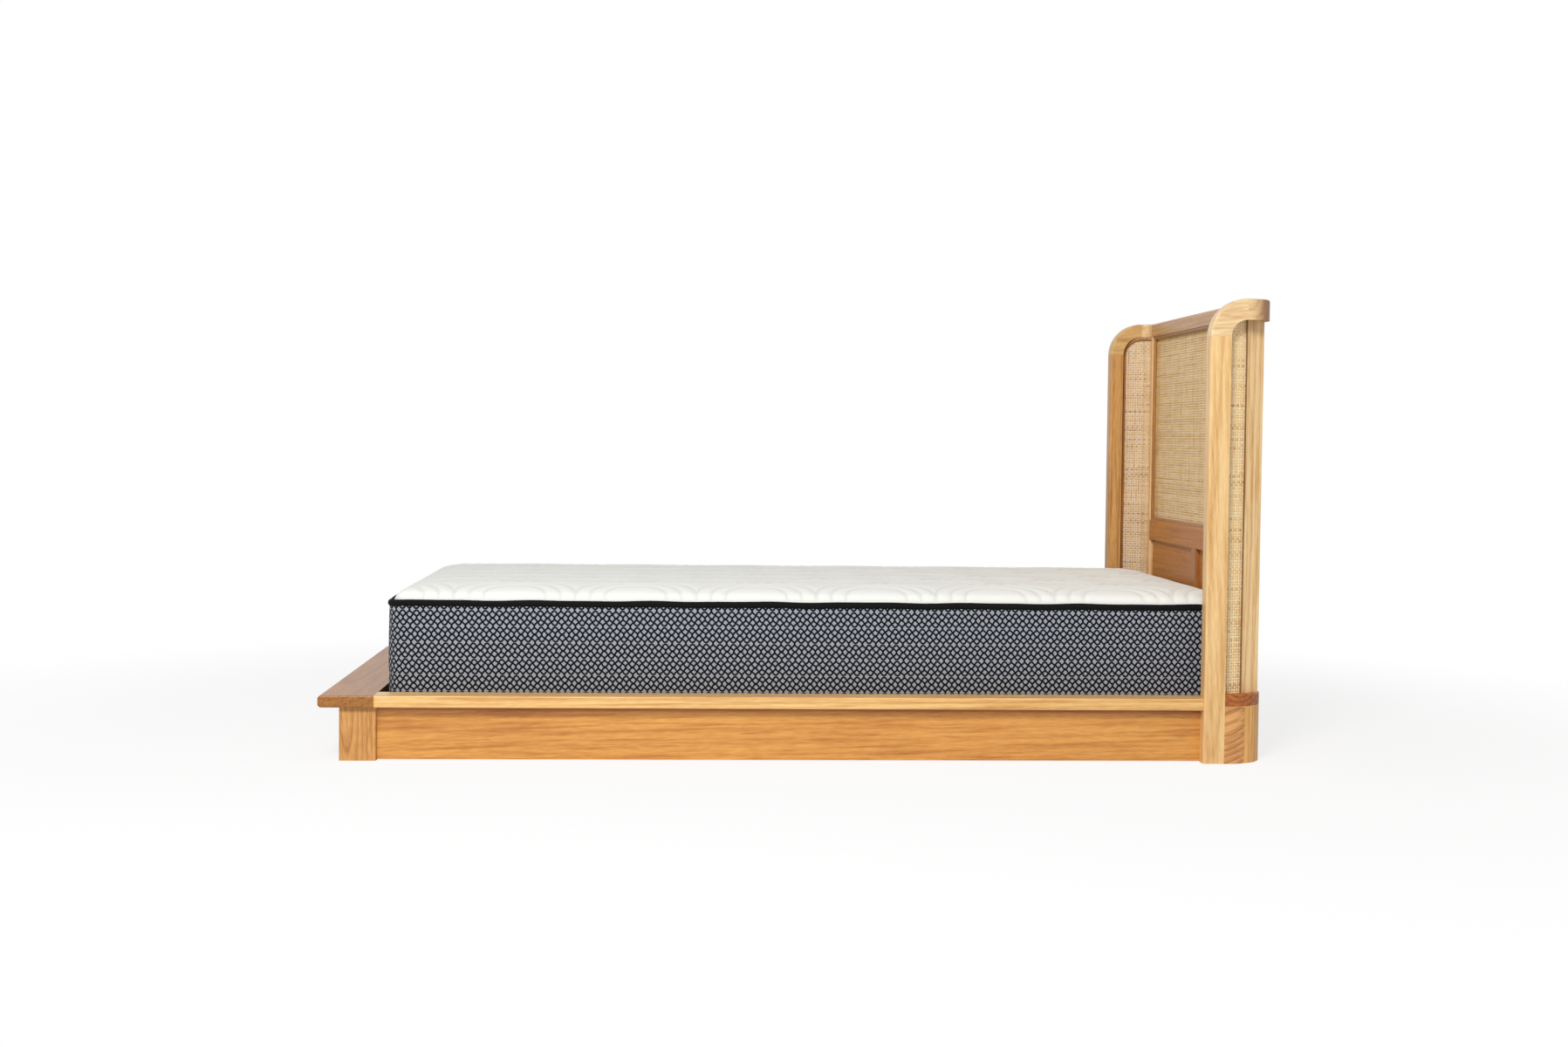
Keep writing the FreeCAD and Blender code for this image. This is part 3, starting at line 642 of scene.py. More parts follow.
@dataclass
class RoundedRing:
    """Rounded rectangle in plan, drawn in from a box, round which a section is swept."""

    low: Vector
    high: Vector
    inset: float
    radius: float
    run_steps: tuple[int, int] = (90, 44)
    corner_steps: int = 10
    weld: float = 0.1 * MM

    def __post_init__(self) -> None:
        """Draw the ring in from the sides of its box."""
        edge = Vector((self.inset, self.inset, 0))
        self.low = self.low + edge
        self.high = self.high - edge

    @property
    def runs(self) -> tuple[float, float]:
        """Lengths of a straight side along X and of one along Y."""
        wide = self.high.x - self.low.x - 2 * self.radius
        deep = self.high.y - self.low.y - 2 * self.radius
        return (wide, deep)

    @property
    def length(self) -> float:
        """Distance once round the ring."""
        return 2 * sum(self.runs) + FULL_TURN * self.radius

    def sweep(self, bm: BMesh, section: list[BMEdge]) -> None:
        """Sweep a section once round the ring, and close it.

        Args:
            bm: mesh that holds the section at the start of the near long side.
            section: edges of the section.
        """
        edges = section
        left, right = self.low.x + self.radius, self.high.x - self.radius
        near, far = self.low.y + self.radius, self.high.y - self.radius
        corners = ((right, near, 0), (right, far, 0), (left, far, 0), (left, near, 0))
        ways = ((1, 0, 0), (0, 1, 0), (-1, 0, 0), (0, -1, 0))
        for number, (corner, way) in enumerate(zip(corners, ways)):
            steps = self.run_steps[number % 2]
            move = Vector(way) * (self.runs[number % 2] / steps)
            for _ in range(steps):
                edges = extruded(bm, edges, move)
            ends = dict.fromkeys(vert for edge in edges for vert in edge.verts)
            spun = bmesh.ops.spin(
                bm,
                geom=[*ends, *edges],
                cent=corner,
                axis=(0, 0, 1),
                angle=QUARTER_TURN,
                steps=self.corner_steps,
            )["geom_last"]
            last = {part for part in spun if isinstance(part, BMVert)}
            edges = [part for part in spun if isinstance(part, BMEdge) and last.issuperset(part.verts)]
        bmesh.ops.remove_doubles(bm, verts=bm.verts, dist=self.weld)
        bmesh.ops.recalc_face_normals(bm, faces=bm.faces)

    def place(self, point: Vector) -> float:
        """Distance round the ring to the place beside a point.

        Args:
            point: a point near the ring.

        Returns:
            Metres from the start of the near long side.
        """
        wide, deep = self.runs
        quarter = self.radius * QUARTER_TURN
        x = point.x - self.low.x - self.radius
        y = point.y - self.low.y - self.radius
        if 0 <= x <= wide:
            return x if y < deep / 2 else wide + 2 * quarter + deep + (wide - x)
        if 0 <= y <= deep:
            return wide + quarter + y if x > 0 else 2 * wide + 3 * quarter + deep + (deep - y)
        right = x > 0
        top = y > deep / 2
        angle = math.atan2(y - deep if top else y, x - wide if right else x)
        starts = {
            (True, False): (wide, 3 * QUARTER_TURN),
            (True, True): (wide + quarter + deep, 0.0),
            (False, True): (2 * wide + 2 * quarter + deep, QUARTER_TURN),
            (False, False): (2 * wide + 3 * quarter + 2 * deep, 2 * QUARTER_TURN),
        }
        start, first = starts[(right, top)]
        return start + self.radius * ((angle - first) % FULL_TURN)


@dataclass
class ClothRun:
    """Short cloth simulation that swells a padded piece from inside."""

    pressure: float
    reach: float
    mass: float = 0.3
    frames: int = 20
    stiffness: float = 25.0
    bending: float = 0.5

    def swell(self, mesh: Mesh, held: Callable[[Vector], float]) -> None:
        """Swell a mesh in place, with its sewn points held.

        Args:
            mesh: mesh to swell.
            held: how firmly a point is held, from 0 to 1.
        """
        piece = new_object("swelling", mesh)
        group = piece.vertex_groups.new(name="sewn")
        start = [vert.co.copy() for vert in mesh.vertices]
        for index, point in enumerate(start):
            group.add([index], held(point), "REPLACE")
        cloth = piece.modifiers.new("swell", "CLOTH")
        settings = cloth.settings
        settings.use_pressure = True
        settings.uniform_pressure_force = self.pressure
        settings.vertex_group_mass = group.name
        settings.mass = self.mass
        for strain in ("tension", "compression", "shear"):
            setattr(settings, f"{strain}_stiffness", self.stiffness)
        settings.bending_stiffness = self.bending
        settings.effector_weights.gravity = 0.0
        scene = bpy.context.scene
        cloth.point_cache.frame_start = 1
        cloth.point_cache.frame_end = self.frames
        for number in range(1, self.frames + 1):
            scene.frame_set(number)
        swollen = finished_mesh(piece)
        moves = [after.co - before for before, after in zip(start, swollen.vertices)]
        lengths = [move.length for move in moves]
        log.info("swelling: mean %.2f mm, most %.2f mm", sum(lengths) / len(moves) / MM, max(lengths) / MM)
        for vert, before, move, length in zip(mesh.vertices, start, moves, lengths):
            vert.co = before + (move * (self.reach / length) if length > self.reach else move)
        scene.frame_set(1)
        bpy.data.objects.remove(piece)
        bpy.data.meshes.remove(swollen)


@dataclass
class Mattress:
    """Loose sprung mattress: patterned border, quilted top, plain underside and two binding tapes."""

    seam_inset: float = 3 * MM
    seam_hold: float = 1 * MM
    ring_radius: float = 32 * MM
    border_rows: int = 14
    border_swell: float = 6 * MM
    stitch_height: float = 176 * MM
    stitch_depth: float = 1.6 * MM
    stitch_reach: float = 9 * MM
    cloth_skew: float = 0.06
    first_row: float = 322 * MM
    quilt_cell: float = 9 * MM
    quilt_swell: float = 8 * MM
    quilt_crown: float = 33 * MM
    quilt_reach: float = 140 * MM
    quilt_fullness: float = 2.25
    quilt_pitch: float = 265 * MM
    quilt_row: float = 132 * MM
    quilt_arcs: tuple[float, ...] = (132 * MM, 100 * MM, 68 * MM)
    held_cells: float = 0.55
    groove_start: float = 2 * MM
    groove_depth: float = 2.6 * MM
    groove_reach: float = 6.0 * MM
    # Darkening along the quilting: the thread, with painted shade of its groove.
    thread_and_groove_shade_share: float = 0.3
    thread_narrowness: float = 4.0
    underside_cells: tuple[int, int] = (60, 30)
    tape_size: tuple[float, float] = (5.0 * MM, 7.2 * MM)
    tape_sides: int = 14
    tape_overhang: float = 2.5 * MM
    # Waves in the tape's seam: height, waves once round and start.
    tape_waves: tuple[tuple[float, int, float], ...] = ((0.72 * MM, 23, 0.0), (0.48 * MM, 41, 1.3))
    quilt_start: Vector = field(init=False)

    def __post_init__(self) -> None:
        """Find the corner that the quilting is counted from."""
        self.quilt_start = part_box("mattress_top")[0]

    def build(self) -> None:
        """Build and dress every piece of the mattress."""
        self._border()
        self._quilted_top()
        self._underside()
        tape = TapeFinish().material()
        self._tape("mattress_upper_tape", "mattress_top_tape", tape)
        self._tape("mattress_lower_tape", "mattress_bottom_tape", tape)

    def _border(self) -> None:
        """Border wall with its core, swollen between the seams and sewn once along its length."""
        low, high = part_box("mattress_core")
        ring = RoundedRing(low, high, self.seam_inset, self.ring_radius)
        bm = bmesh.new()
        last = [bm.verts.new((ring.low.x + ring.radius, ring.low.y, low.z))]
        edges = []
        for _ in range(self.border_rows):
            made = bmesh.ops.extrude_vert_indiv(bm, verts=last)
            last = made["verts"]
            bmesh.ops.translate(bm, verts=last, vec=(0, 0, (high.z - low.z) / self.border_rows))
            edges += made["edges"]
        ring.sweep(bm, edges)
        close(bm)
        mesh = to_mesh(bm, "mattress_border")

        def held(point: Vector) -> float:
            """Hold the two seams."""
            return 0.0 if low.z + self.seam_hold <= point.z <= high.z - self.seam_hold else 1.0

        ClothRun(pressure=8.0, reach=self.border_swell).swell(mesh, held)
        self._sew_border(mesh)
        finish = BorderFinish()
        self._border_map(mesh, ring, finish.pitch_mm)
        smooth(mesh)
        mesh.materials.append(finish.material())
        piece = new_piece("mattress_border", mesh, MATTRESS_BODY)
        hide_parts("mattress_core")

    def _sew_border(self, mesh: Mesh) -> None:
        """Draw the border in along its one line of stitching."""
        low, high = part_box("mattress_core")
        middle = (low + high) / 2
        for vert in mesh.vertices:
            off = (vert.co.z - self.stitch_height) / self.stitch_reach
            pull = self.stitch_depth * math.exp(-off * off)
            x, y = vert.co.x - middle.x, vert.co.y - middle.y
            if abs(y) / (high.y - low.y) > abs(x) / (high.x - low.x):
                vert.co.y -= math.copysign(pull, y)
            else:
                vert.co.x -= math.copysign(pull, x)

    def _border_map(self, mesh: Mesh, ring: RoundedRing, pitch_mm: tuple[float, float]) -> None:
        """Lay the pattern's repeats round the border, a whole number of them.

        Args:
            mesh: the border's mesh.
            ring: outline that the border follows.
            pitch_mm: width and height of a repeat.
        """
        wide, tall = (pitch * MM for pitch in pitch_mm)
        length = ring.length
        repeats = round(length / wide)
        layer = mesh.uv_layers.new(name="border")
        for face in mesh.polygons:
            middle = ring.place(face.center)
            for index in face.loop_indices:
                point = mesh.vertices[mesh.loops[index].vertex_index].co
                run = ring.place(point)
                run += length * round((middle - run) / length)
                drop = point.z - self.first_row
                across = (run / length) * repeats + self.cloth_skew * drop / wide
                layer.data[index].uv = (across, drop / tall)

    def _quilt_gap(self, point: Vector) -> float:
        """Distance to the nearest line of quilting: rows of nested arcs, each row half a step along.

        Args:
            point: a point on the top.

        Returns:
            Metres to the line.
        """
        half_pitch = self.quilt_pitch / 2
        y = point.y - self.quilt_start.y
        row = math.floor(y / self.quilt_row)
        gaps = []
        for number in (row, row - 1):
            shift = half_pitch if number % 2 else 0.0
            x = (point.x - self.quilt_start.x - shift + half_pitch) % self.quilt_pitch - half_pitch
            reach = math.hypot(x, y - number * self.quilt_row)
            if number == row or reach <= self.quilt_arcs[0]:
                gaps += [abs(reach - arc) for arc in self.quilt_arcs]
        return min(gaps)

    def _pad(
        self, low: Vector, high: Vector, rim: float, cells: tuple[int, int], rise: tuple[float, float]
    ) -> BMesh:
        """Crowned grid over a box, with its rim turned over into a skirt.

        Args:
            low: lowest corner of the box.
            high: highest corner of the box.
            rim: height of the rim.
            cells: cells of the grid along X and Y.
            rise: how far the crown and the skirt's end stand above the rim.

        Returns:
            The open pad.
        """
        crown, skirt = rise
        bm = bmesh.new()
        lay = Matrix.Translation(((low.x + high.x) / 2, (low.y + high.y) / 2, rim))
        lay = lay @ Matrix.Diagonal((high.x - low.x, high.y - low.y, 1, 1))
        bmesh.ops.create_grid(bm, x_segments=cells[0], y_segments=cells[1], size=0.5, matrix=lay)
        for vert in bm.verts:
            vert.co = self._crowned(vert.co, low, high, crown)
        extruded(bm, open_edges(bm), Vector((0, 0, skirt)))
        bmesh.ops.recalc_face_normals(bm, faces=bm.faces)
        return bm

    def _crowned(self, point: Vector, low: Vector, high: Vector, crown: float) -> Vector:
        """Place of a grid point on the crowned pad, with its plan corners rounded.

        Args:
            point: a point of the flat grid.
            low: lowest corner of the pad.
            high: highest corner of the pad.
            crown: how far the middle stands above the rim.

        Returns:
            The point on the crown.
        """
        middle = (low + high) / 2
        half = (high - low) / 2
        corner = self.ring_radius
        straight_x, straight_y = half.x - corner, half.y - corner
        x, y = point.x - middle.x, point.y - middle.y
        inset = min(half.x - abs(x), half.y - abs(y))
        s, t = (abs(x) - straight_x) / corner, (abs(y) - straight_y) / corner
        if s > 0 and t > 0:
            over_x = corner * s * math.sqrt(1 - t * t / 2)
            over_y = corner * t * math.sqrt(1 - s * s / 2)
            x, y = math.copysign(straight_x + over_x, x), math.copysign(straight_y + over_y, y)
            inset = corner - math.hypot(over_x, over_y)
        share = min(max(inset, 0.0) / self.quilt_reach, 1.0)
        rise = crown * (1 - (1 - share) ** self.quilt_fullness) ** (1 / self.quilt_fullness)
        return Vector((middle.x + x, middle.y + y, point.z + rise))

    def _quilted_top(self) -> None:
        """Quilted top: a crowned pad swollen between its lines of stitching."""
        low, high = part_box("mattress_top")
        tape_low, tape_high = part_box("mattress_top_tape")
        cells = (round((high.x - low.x) / self.quilt_cell), round((high.y - low.y) / self.quilt_cell))
        rise = (self.quilt_crown, tape_low.z - tape_high.z)
        mesh = to_mesh(self._pad(low, high, tape_high.z, cells, rise), "quilt_shell")

        def held(point: Vector) -> float:
            """Hold the rim and the lines of stitching."""
            at_rim = point.z < tape_high.z + self.seam_hold
            return 1.0 if at_rim or self._quilt_gap(point) < self.quilt_cell * self.held_cells else 0.0

        ClothRun(pressure=9.0, reach=self.quilt_swell, mass=0.02).swell(mesh, held)
        shell = new_object("quilt_shell", mesh)
        rounding = shell.modifiers.new("rounding", "SUBSURF")
        rounding.levels = 1
        rounding.render_levels = 1
        fine = finished_mesh(shell)
        bpy.data.objects.remove(shell)
        # Thread along each line of quilting, its share also painting the shade of the groove.
        thread_and_groove_shade = fine.attributes.new("thread_and_groove_shade", "FLOAT", "POINT")
        for vert, thread_and_shade in zip(fine.vertices, thread_and_groove_shade.data):
            if vert.co.z > tape_high.z + self.groove_start:
                off = self._quilt_gap(vert.co) / self.groove_reach
                vert.co.z -= self.groove_depth * math.exp(-off * off)
                thread_and_shade.value = self.thread_and_groove_shade_share * math.exp(-self.thread_narrowness * off * off)
        bm = from_mesh(fine)
        close(bm)
        to_mesh(bm, fine)
        smooth(fine)
        fine.materials.append(KnitFinish(thread_and_groove_shaded=True).material())
        fine.name = "mattress_quilted_top"
        piece = new_piece("mattress_quilted_top", fine, MATTRESS_BODY)
        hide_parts("mattress_top")

    def _underside(self) -> None:
        """Plain cloth panel under the core, with its edge drawn up to the lower tape."""
        low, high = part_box("mattress_bottom")
        bm = self._pad(low, high, low.z, self.underside_cells, (0.0, high.z - low.z))
        close(bm)
        mesh = to_mesh(bm, "mattress_underside")
        mesh.materials.append(KnitFinish("grey_underside_cloth", "#a9a9a8", "#8f8f90").material())
        piece = new_piece("mattress_underside", mesh, MATTRESS_BODY)
        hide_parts("mattress_bottom")

    def _tape(self, name: str, node: str, material: Material) -> None:
        """Binding tape rolled round an edge, a little wavy where it was sewn.

        Args:
            name: name of the piece.
            node: CAD node that it stands for.
            material: finish of the tape.
        """
        low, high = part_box(node)
        half_width, half_height = self.tape_size
        inset = half_width - self.tape_overhang
        ring = RoundedRing(low, high, inset, self.ring_radius - inset)
        bm = bmesh.new()
        lay = Matrix.Translation((ring.low.x + ring.radius, ring.low.y, (low.z + high.z) / 2))
        lay = lay @ Matrix.Rotation(QUARTER_TURN, 4, "Y") @ Matrix.Diagonal((half_height, half_width, 1, 1))
        bmesh.ops.create_circle(bm, segments=self.tape_sides, radius=1.0, matrix=lay)
        ring.sweep(bm, bm.edges[:])
        for vert in bm.verts:
            turn = FULL_TURN * ring.place(vert.co) / ring.length
            for height, waves, start in self.tape_waves:
                vert.co.z += height * math.sin(waves * turn + start)
        mesh = to_mesh(bm, name)
        smooth(mesh)
        mesh.materials.append(material)
        piece = new_piece(name, mesh, MATTRESS_BODY)
        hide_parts(node)


@dataclass
class CaneWork:
    """Woven cane of the wings and the back: flat strands in a close square weave."""

    pitch: float = 6.2 * MM
    strand_width: float = 4.7 * MM
    strand_thick: float = 0.9 * MM
    strand_sides: int = 4
    swing: float = 0.5 * MM
    weld: float = 0.05 * MM
    slant_deg: float = 24.0
    arch_radius: float = 47.8 * MM
    arch_cuts: int = 6
    # The near wing's cane is painted lighter than the others, painted light that lifts the shade in its
    # recess.
    tones: dict[str, tuple[str, str, str]] = field(
        default_factory=lambda: {
            "back": ("#e9cb94", "#d3a765", "#a97a42"),
            "wing_left": ("#ffe9bd", "#f8d498", "#bd8a4e"),
            "wing_right": ("#dfc39a", "#c9a678", "#9a754a"),
        }
    )

    def build(self) -> None:
        """Weave and place the three panels."""
        low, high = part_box("back_cane")
        mesh = self._weave(high.y - low.y, high.z - low.z, self._strands("back", low, Vector((0, 1, 0))))
        middle = Matrix.Translation(((low.x + high.x) / 2, low.y, low.z))
        mesh.transform(middle @ Matrix.Rotation(QUARTER_TURN, 4, "Z"))
        self._finish(from_mesh(mesh), mesh, "cane_back", "back_cane")
        for side, sense in (("left", 1.0), ("right", -1.0)):
            self._wing(side, sense)

    def _strands(self, panel: str, start: Vector, level: Vector) -> list[Material]:
        """Finishes of a panel's upright and level strands.

        Args:
            panel: name of the panel.
            start: corner that the strands are counted from.
            level: way that the level strands run.

        Returns:
            The upright strands' material and the level strands' material.
        """
        upright = Vector((0, 0, 1))
        tones = self.tones[panel]
        materials = []
        for kind, across, run, stain in (("warp", level, upright, 0.12), ("weft", upright, level, 0.3)):
            finish = CaneFinish(f"rattan_{kind}_{panel}", start, across, run, self.pitch, stain, tones)
            materials.append(finish.material())
        return materials

    def _wing(self, side: str, sense: float) -> None:
        """Weave one wing panel, trim it to the arch and lay it on its slant.

        Args:
            side: left or right.
            sense: 1 where the panel slants towards +Y, and -1 where it slants towards -Y.
        """
        node = f"wing_cane_{side}"
        low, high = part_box(node)
        slant = math.radians(self.slant_deg)
        thickness = (high.y - low.y) - (high.x - low.x) * math.tan(slant)
        outer = low.y + thickness / 2 if sense > 0 else high.y - thickness / 2
        start = Vector((low.x, outer, low.z))
        level = Vector((math.cos(slant), sense * math.sin(slant), 0))
        materials = self._strands(f"wing_{side}", start, level)
        mesh = self._weave((high.x - low.x) / math.cos(slant), high.z - low.z, materials)
        mesh.transform(Matrix.Translation(start) @ Matrix.Rotation(sense * slant, 4, "Z"))
        bm = from_mesh(mesh)
        centre = Vector((low.x + self.arch_radius, outer, high.z - self.arch_radius))
        for cut in range(self.arch_cuts):
            angle = QUARTER_TURN * (cut + 0.5) / self.arch_cuts
            way = Vector((-math.cos(angle), 0, math.sin(angle)))
            geometry = bm.verts[:] + bm.edges[:] + bm.faces[:]
            bmesh.ops.bisect_plane(
                bm, geom=geometry, plane_co=centre + way * self.arch_radius, plane_no=way, clear_outer=True
            )
        self._finish(bm, mesh, f"cane_wing_{side}", node)

    def _finish(self, bm: BMesh, mesh: Mesh, name: str, node: str) -> None:
        """Close the strands' ends and put the panel in the scene.

        Args:
            bm: the panel.
            mesh: mesh that gets it.
            name: name of the piece.
            node: CAD node that it stands for.
        """
        bmesh.ops.holes_fill(bm, edges=open_edges(bm), sides=2 * self.strand_sides)
        to_mesh(bm, mesh).name = name
        piece = new_piece(name, mesh, FRAME_BODY)
        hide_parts(node)

    def _weave(self, width: float, height: float, materials: list[Material]) -> Mesh:
        """Weave a flat panel that starts at the origin, with X across it and Z up.

        Args:
            width: width to cover.
            height: height to cover.
            materials: finishes of the upright and level strands.

        Returns:
            The panel's mesh.
        """
        bm = bmesh.new()
        step = self.pitch
        for number, over in enumerate((self.swing, -self.swing)):
            self._strand(bm, Vector((step * number, over, 0)), Vector((0, 0, step)), over, 0)
            self._strand(bm, Vector((0, -over, step * number)), Vector((step, 0, 0)), -over, 1)
        cell = to_mesh(bm, "cane_cell")
        for material in materials:
            cell.materials.append(material)
        holder = new_object("cane_cell", cell)
        stretch = []
        for way, span in ((Vector((2 * step, 0, 0)), width), (Vector((0, 0, 2 * step)), height)):
            repeat = holder.modifiers.new("repeat", "ARRAY")
            repeat.use_relative_offset = False
            repeat.use_constant_offset = True
            repeat.constant_offset_displace = way
            repeat.count = max(1, round(span / (2 * step)))
            repeat.use_merge_vertices = True
            repeat.merge_threshold = self.weld
            stretch.append(span / (repeat.count * 2 * step))
        mesh = finished_mesh(holder)
        bpy.data.objects.remove(holder)
        mesh.transform(Matrix.Diagonal((stretch[0], 1, stretch[1], 1)))
        return mesh

    def _strand(self, bm: BMesh, start: Vector, step: Vector, over: float, slot: int) -> None:
        """Add one flat strand that passes over and under two others.

        Args:
            bm: mesh of the weave's cell.
            start: middle of the strand's first end.
            step: way to the next crossing.
            over: how far its first end stands proud.
            slot: number of its material.
        """
        old = set(bm.faces)
        lay = Matrix.Translation(start)
        if not step.z:
            lay = lay @ Matrix.Rotation(QUARTER_TURN, 4, "Y")
        lay = lay @ Matrix.Diagonal((self.strand_width / 2, self.strand_thick / 2, 1, 1))
        ring = bmesh.ops.create_circle(bm, segments=self.strand_sides, radius=1.0, matrix=lay)["verts"]
        edges = edges_at(ring)
        for swing in (-2 * over, 2 * over):
            edges = extruded(bm, edges, step + Vector((0, swing, 0)))
        fresh = [face for face in bm.faces if face not in old]
        for face in fresh:
            face.material_index = slot
        bmesh.ops.recalc_face_normals(bm, faces=fresh)


@dataclass
class Timberwork:
    """Dresses every CAD board, each with its own grain, and the steel and nylon fittings."""

    seeds: float = 0.37

    def boards(self) -> dict[str, TimberFinish]:
        """Finish of each board by the name of its node.

        Returns:
            Node name to finish.
        """
        along, across, upright = Grain.ALONG_BED, Grain.ACROSS_BED, Grain.UPRIGHT
        honey, golden, planed = "honey_timber", "golden_panel_timber", "planed_pine"
        # The beads' deep tone is partly their own and partly painted shade of the narrow gap at the cane's
        # edge.
        bead_with_painted_shade = TimberFinish(honey, "#b07a42", "#855427", upright, (60, 90), (0.6, 0.4), 8.0, 0.3)
        shaded = TimberFinish(honey, "#c98133", "#8c4f15", across, (80, 130), (0.5, 0.4), 14.0, 0.35)
        stile = TimberFinish(honey, "#ffe1aa", "#c98c48", upright, (24, 46), (1.5, 1.1), 15.0, 0.6)
        panel = TimberFinish(golden, "#e3a654", "#a35d1d", along, (46, 40), (1.1, 1.5), 24.0, 0.3, 26.0)
        bare = {"tilt_deg": (0.4, 0.4), "ring_mm": 6.0, "ring_strength": 0.5, "roughness": 0.6}
        slat = TimberFinish(planed, "#e6cb9b", "#c79a5e", across, (40, 120), **bare)
        beam = TimberFinish(planed, "#e2c593", "#c4965a", along, (40, 90), **bare)
        cap = TimberFinish(honey, "#f4ca84", "#bf7f38", along, (22, 64), (0.6, 0.9), 12.0, 0.45)
        heel = TimberFinish(honey, "#ffc575", "#bc792d", upright, (40, 90), (1.4, 1.2), 12.0, 0.65)
        pairs = {
            "wing_post": TimberFinish(honey, "#f4d196", "#c58a45", upright, (34, 150), (1.6, 2.4), 12.0, 0.5),
            "wing_arch": self.arch(),
            # The stiles get painted shade along their edge beside the cane, the shade of the gap between
            # them.
            "corner_post": replace(stile, painted_shade_colour="#6b3d14", edge_mm=(-18.2, -20.6)),
            "wing_bead": bead_with_painted_shade,
            "lower_panel": shaded,
            "base_top": TimberFinish(
                "red_brown_timber", "#cf782c", "#77380e", across, (20, 40), (3.0, 6.0), 12.0, 0.9
            ),
            "base_front_block": TimberFinish(
                "brown_timber", "#edb16c", "#965a28", along, (30, 60), (6.0, 20.0), 12.0, 0.8
            ),
            "base_back_block": replace(heel, knot_share=0.1),
            "side_cap": replace(cap, knot_share=0.03),
            # The side panels' top edge gets painted shade, the shadow under the overhanging side cap.
            "side_panel": replace(panel, knot_share=0.06, painted_shade_colour="#7d3d0c", edge_mm=(-43.0, -56.0)),
            "foot_leg": TimberFinish(honey, "#dba560", "#a66a2c", upright, (22, 52), (5.5, 2.6), 9.0, 0.85),
            "side_cleat": beam,
            "rail_block": beam,
        }
        named = {f"{name}_{side}": finish for name, finish in pairs.items() for side in ("left", "right")}
        return named | {
            # The far wing's post and arch are darker copies of the near ones: painted shade, as that wing
            # lies farther from the light.
            "wing_post_right": TimberFinish(
                honey, "#dba866", "#9a642e", upright, (60, 120), (1.0, 1.4), 11.0, 0.45
            ),
            "wing_arch_right": replace(self.arch(), early="#e3bd80", late="#a87638"),
            "top_rail": TimberFinish(honey, "#d0a068", "#9c6838", across, (80, 150), (0.8, 0.4), 12.0, 0.6),
            "low_rail": shaded,
            "bottom_rail": shaded,
            "muntin": TimberFinish(honey, "#bd8040", "#875020", upright, (60, 90), (0.5, 0.4), 10.0, 0.5),
            "back_bead": bead_with_painted_shade,
            "plinth": shaded,
            "foot_ledge": TimberFinish(honey, "#b47733", "#744413", across, (40, 110), (1.4, 0.9), 15.0, 0.5),
            "foot_panel": TimberFinish(
                golden, "#dfa154", "#a5601f", across, (60, 50), (1.0, 1.0), 22.0, 0.3, 22.0
            ),
            "slats": slat,
            "centre_beam": beam,
            "beam_rest_foot": slat,
            "beam_rest_head": slat,
            "centre_feet": TimberFinish(planed, "#dcbf8d", "#b98c52", upright, (20, 30), ring_mm=5.0),
            "frame_dowels": beam,
        }

    def arch(self) -> TimberFinish:
        """Finish of the arched heads, which the cap corners share."""
        along = Grain.ALONG_BED
        return TimberFinish("honey_timber", "#f5dbae", "#c8965a", along, (22, 105), (3.0, 7.0), 9.0, 0.6)

    def build(self) -> None:
        """Give every board and fitting its material."""
        for number, (node, finish) in enumerate(sorted(self.boards().items())):
            dress(node, finish.material(node, self.seeds * (number + 1)))
        # The cap corners get painted shade, darker towards the head end where the rounded corner turns away
        # from the light.
        corner = replace(self.arch(), painted_shade_colour="#8e4600", edge_axis=2, edge_mm=(-24.0, 24.0))
        for node in ("cap_corner_left", "cap_corner_right"):
            dress(node, corner.material(node, self.seeds))
        zinc = PlainFinish("zinc_plated_steel", "#b9bcc0", "#8f9398", 1.0, 0.35).material()
        for node in ("rail_bracket_left", "rail_bracket_right", "bed_bolts"):
            dress(node, zinc)
        dress("foot_glides", PlainFinish("black_nylon", "#1b1b1d", "#26262a", 0.0, 0.45).material())


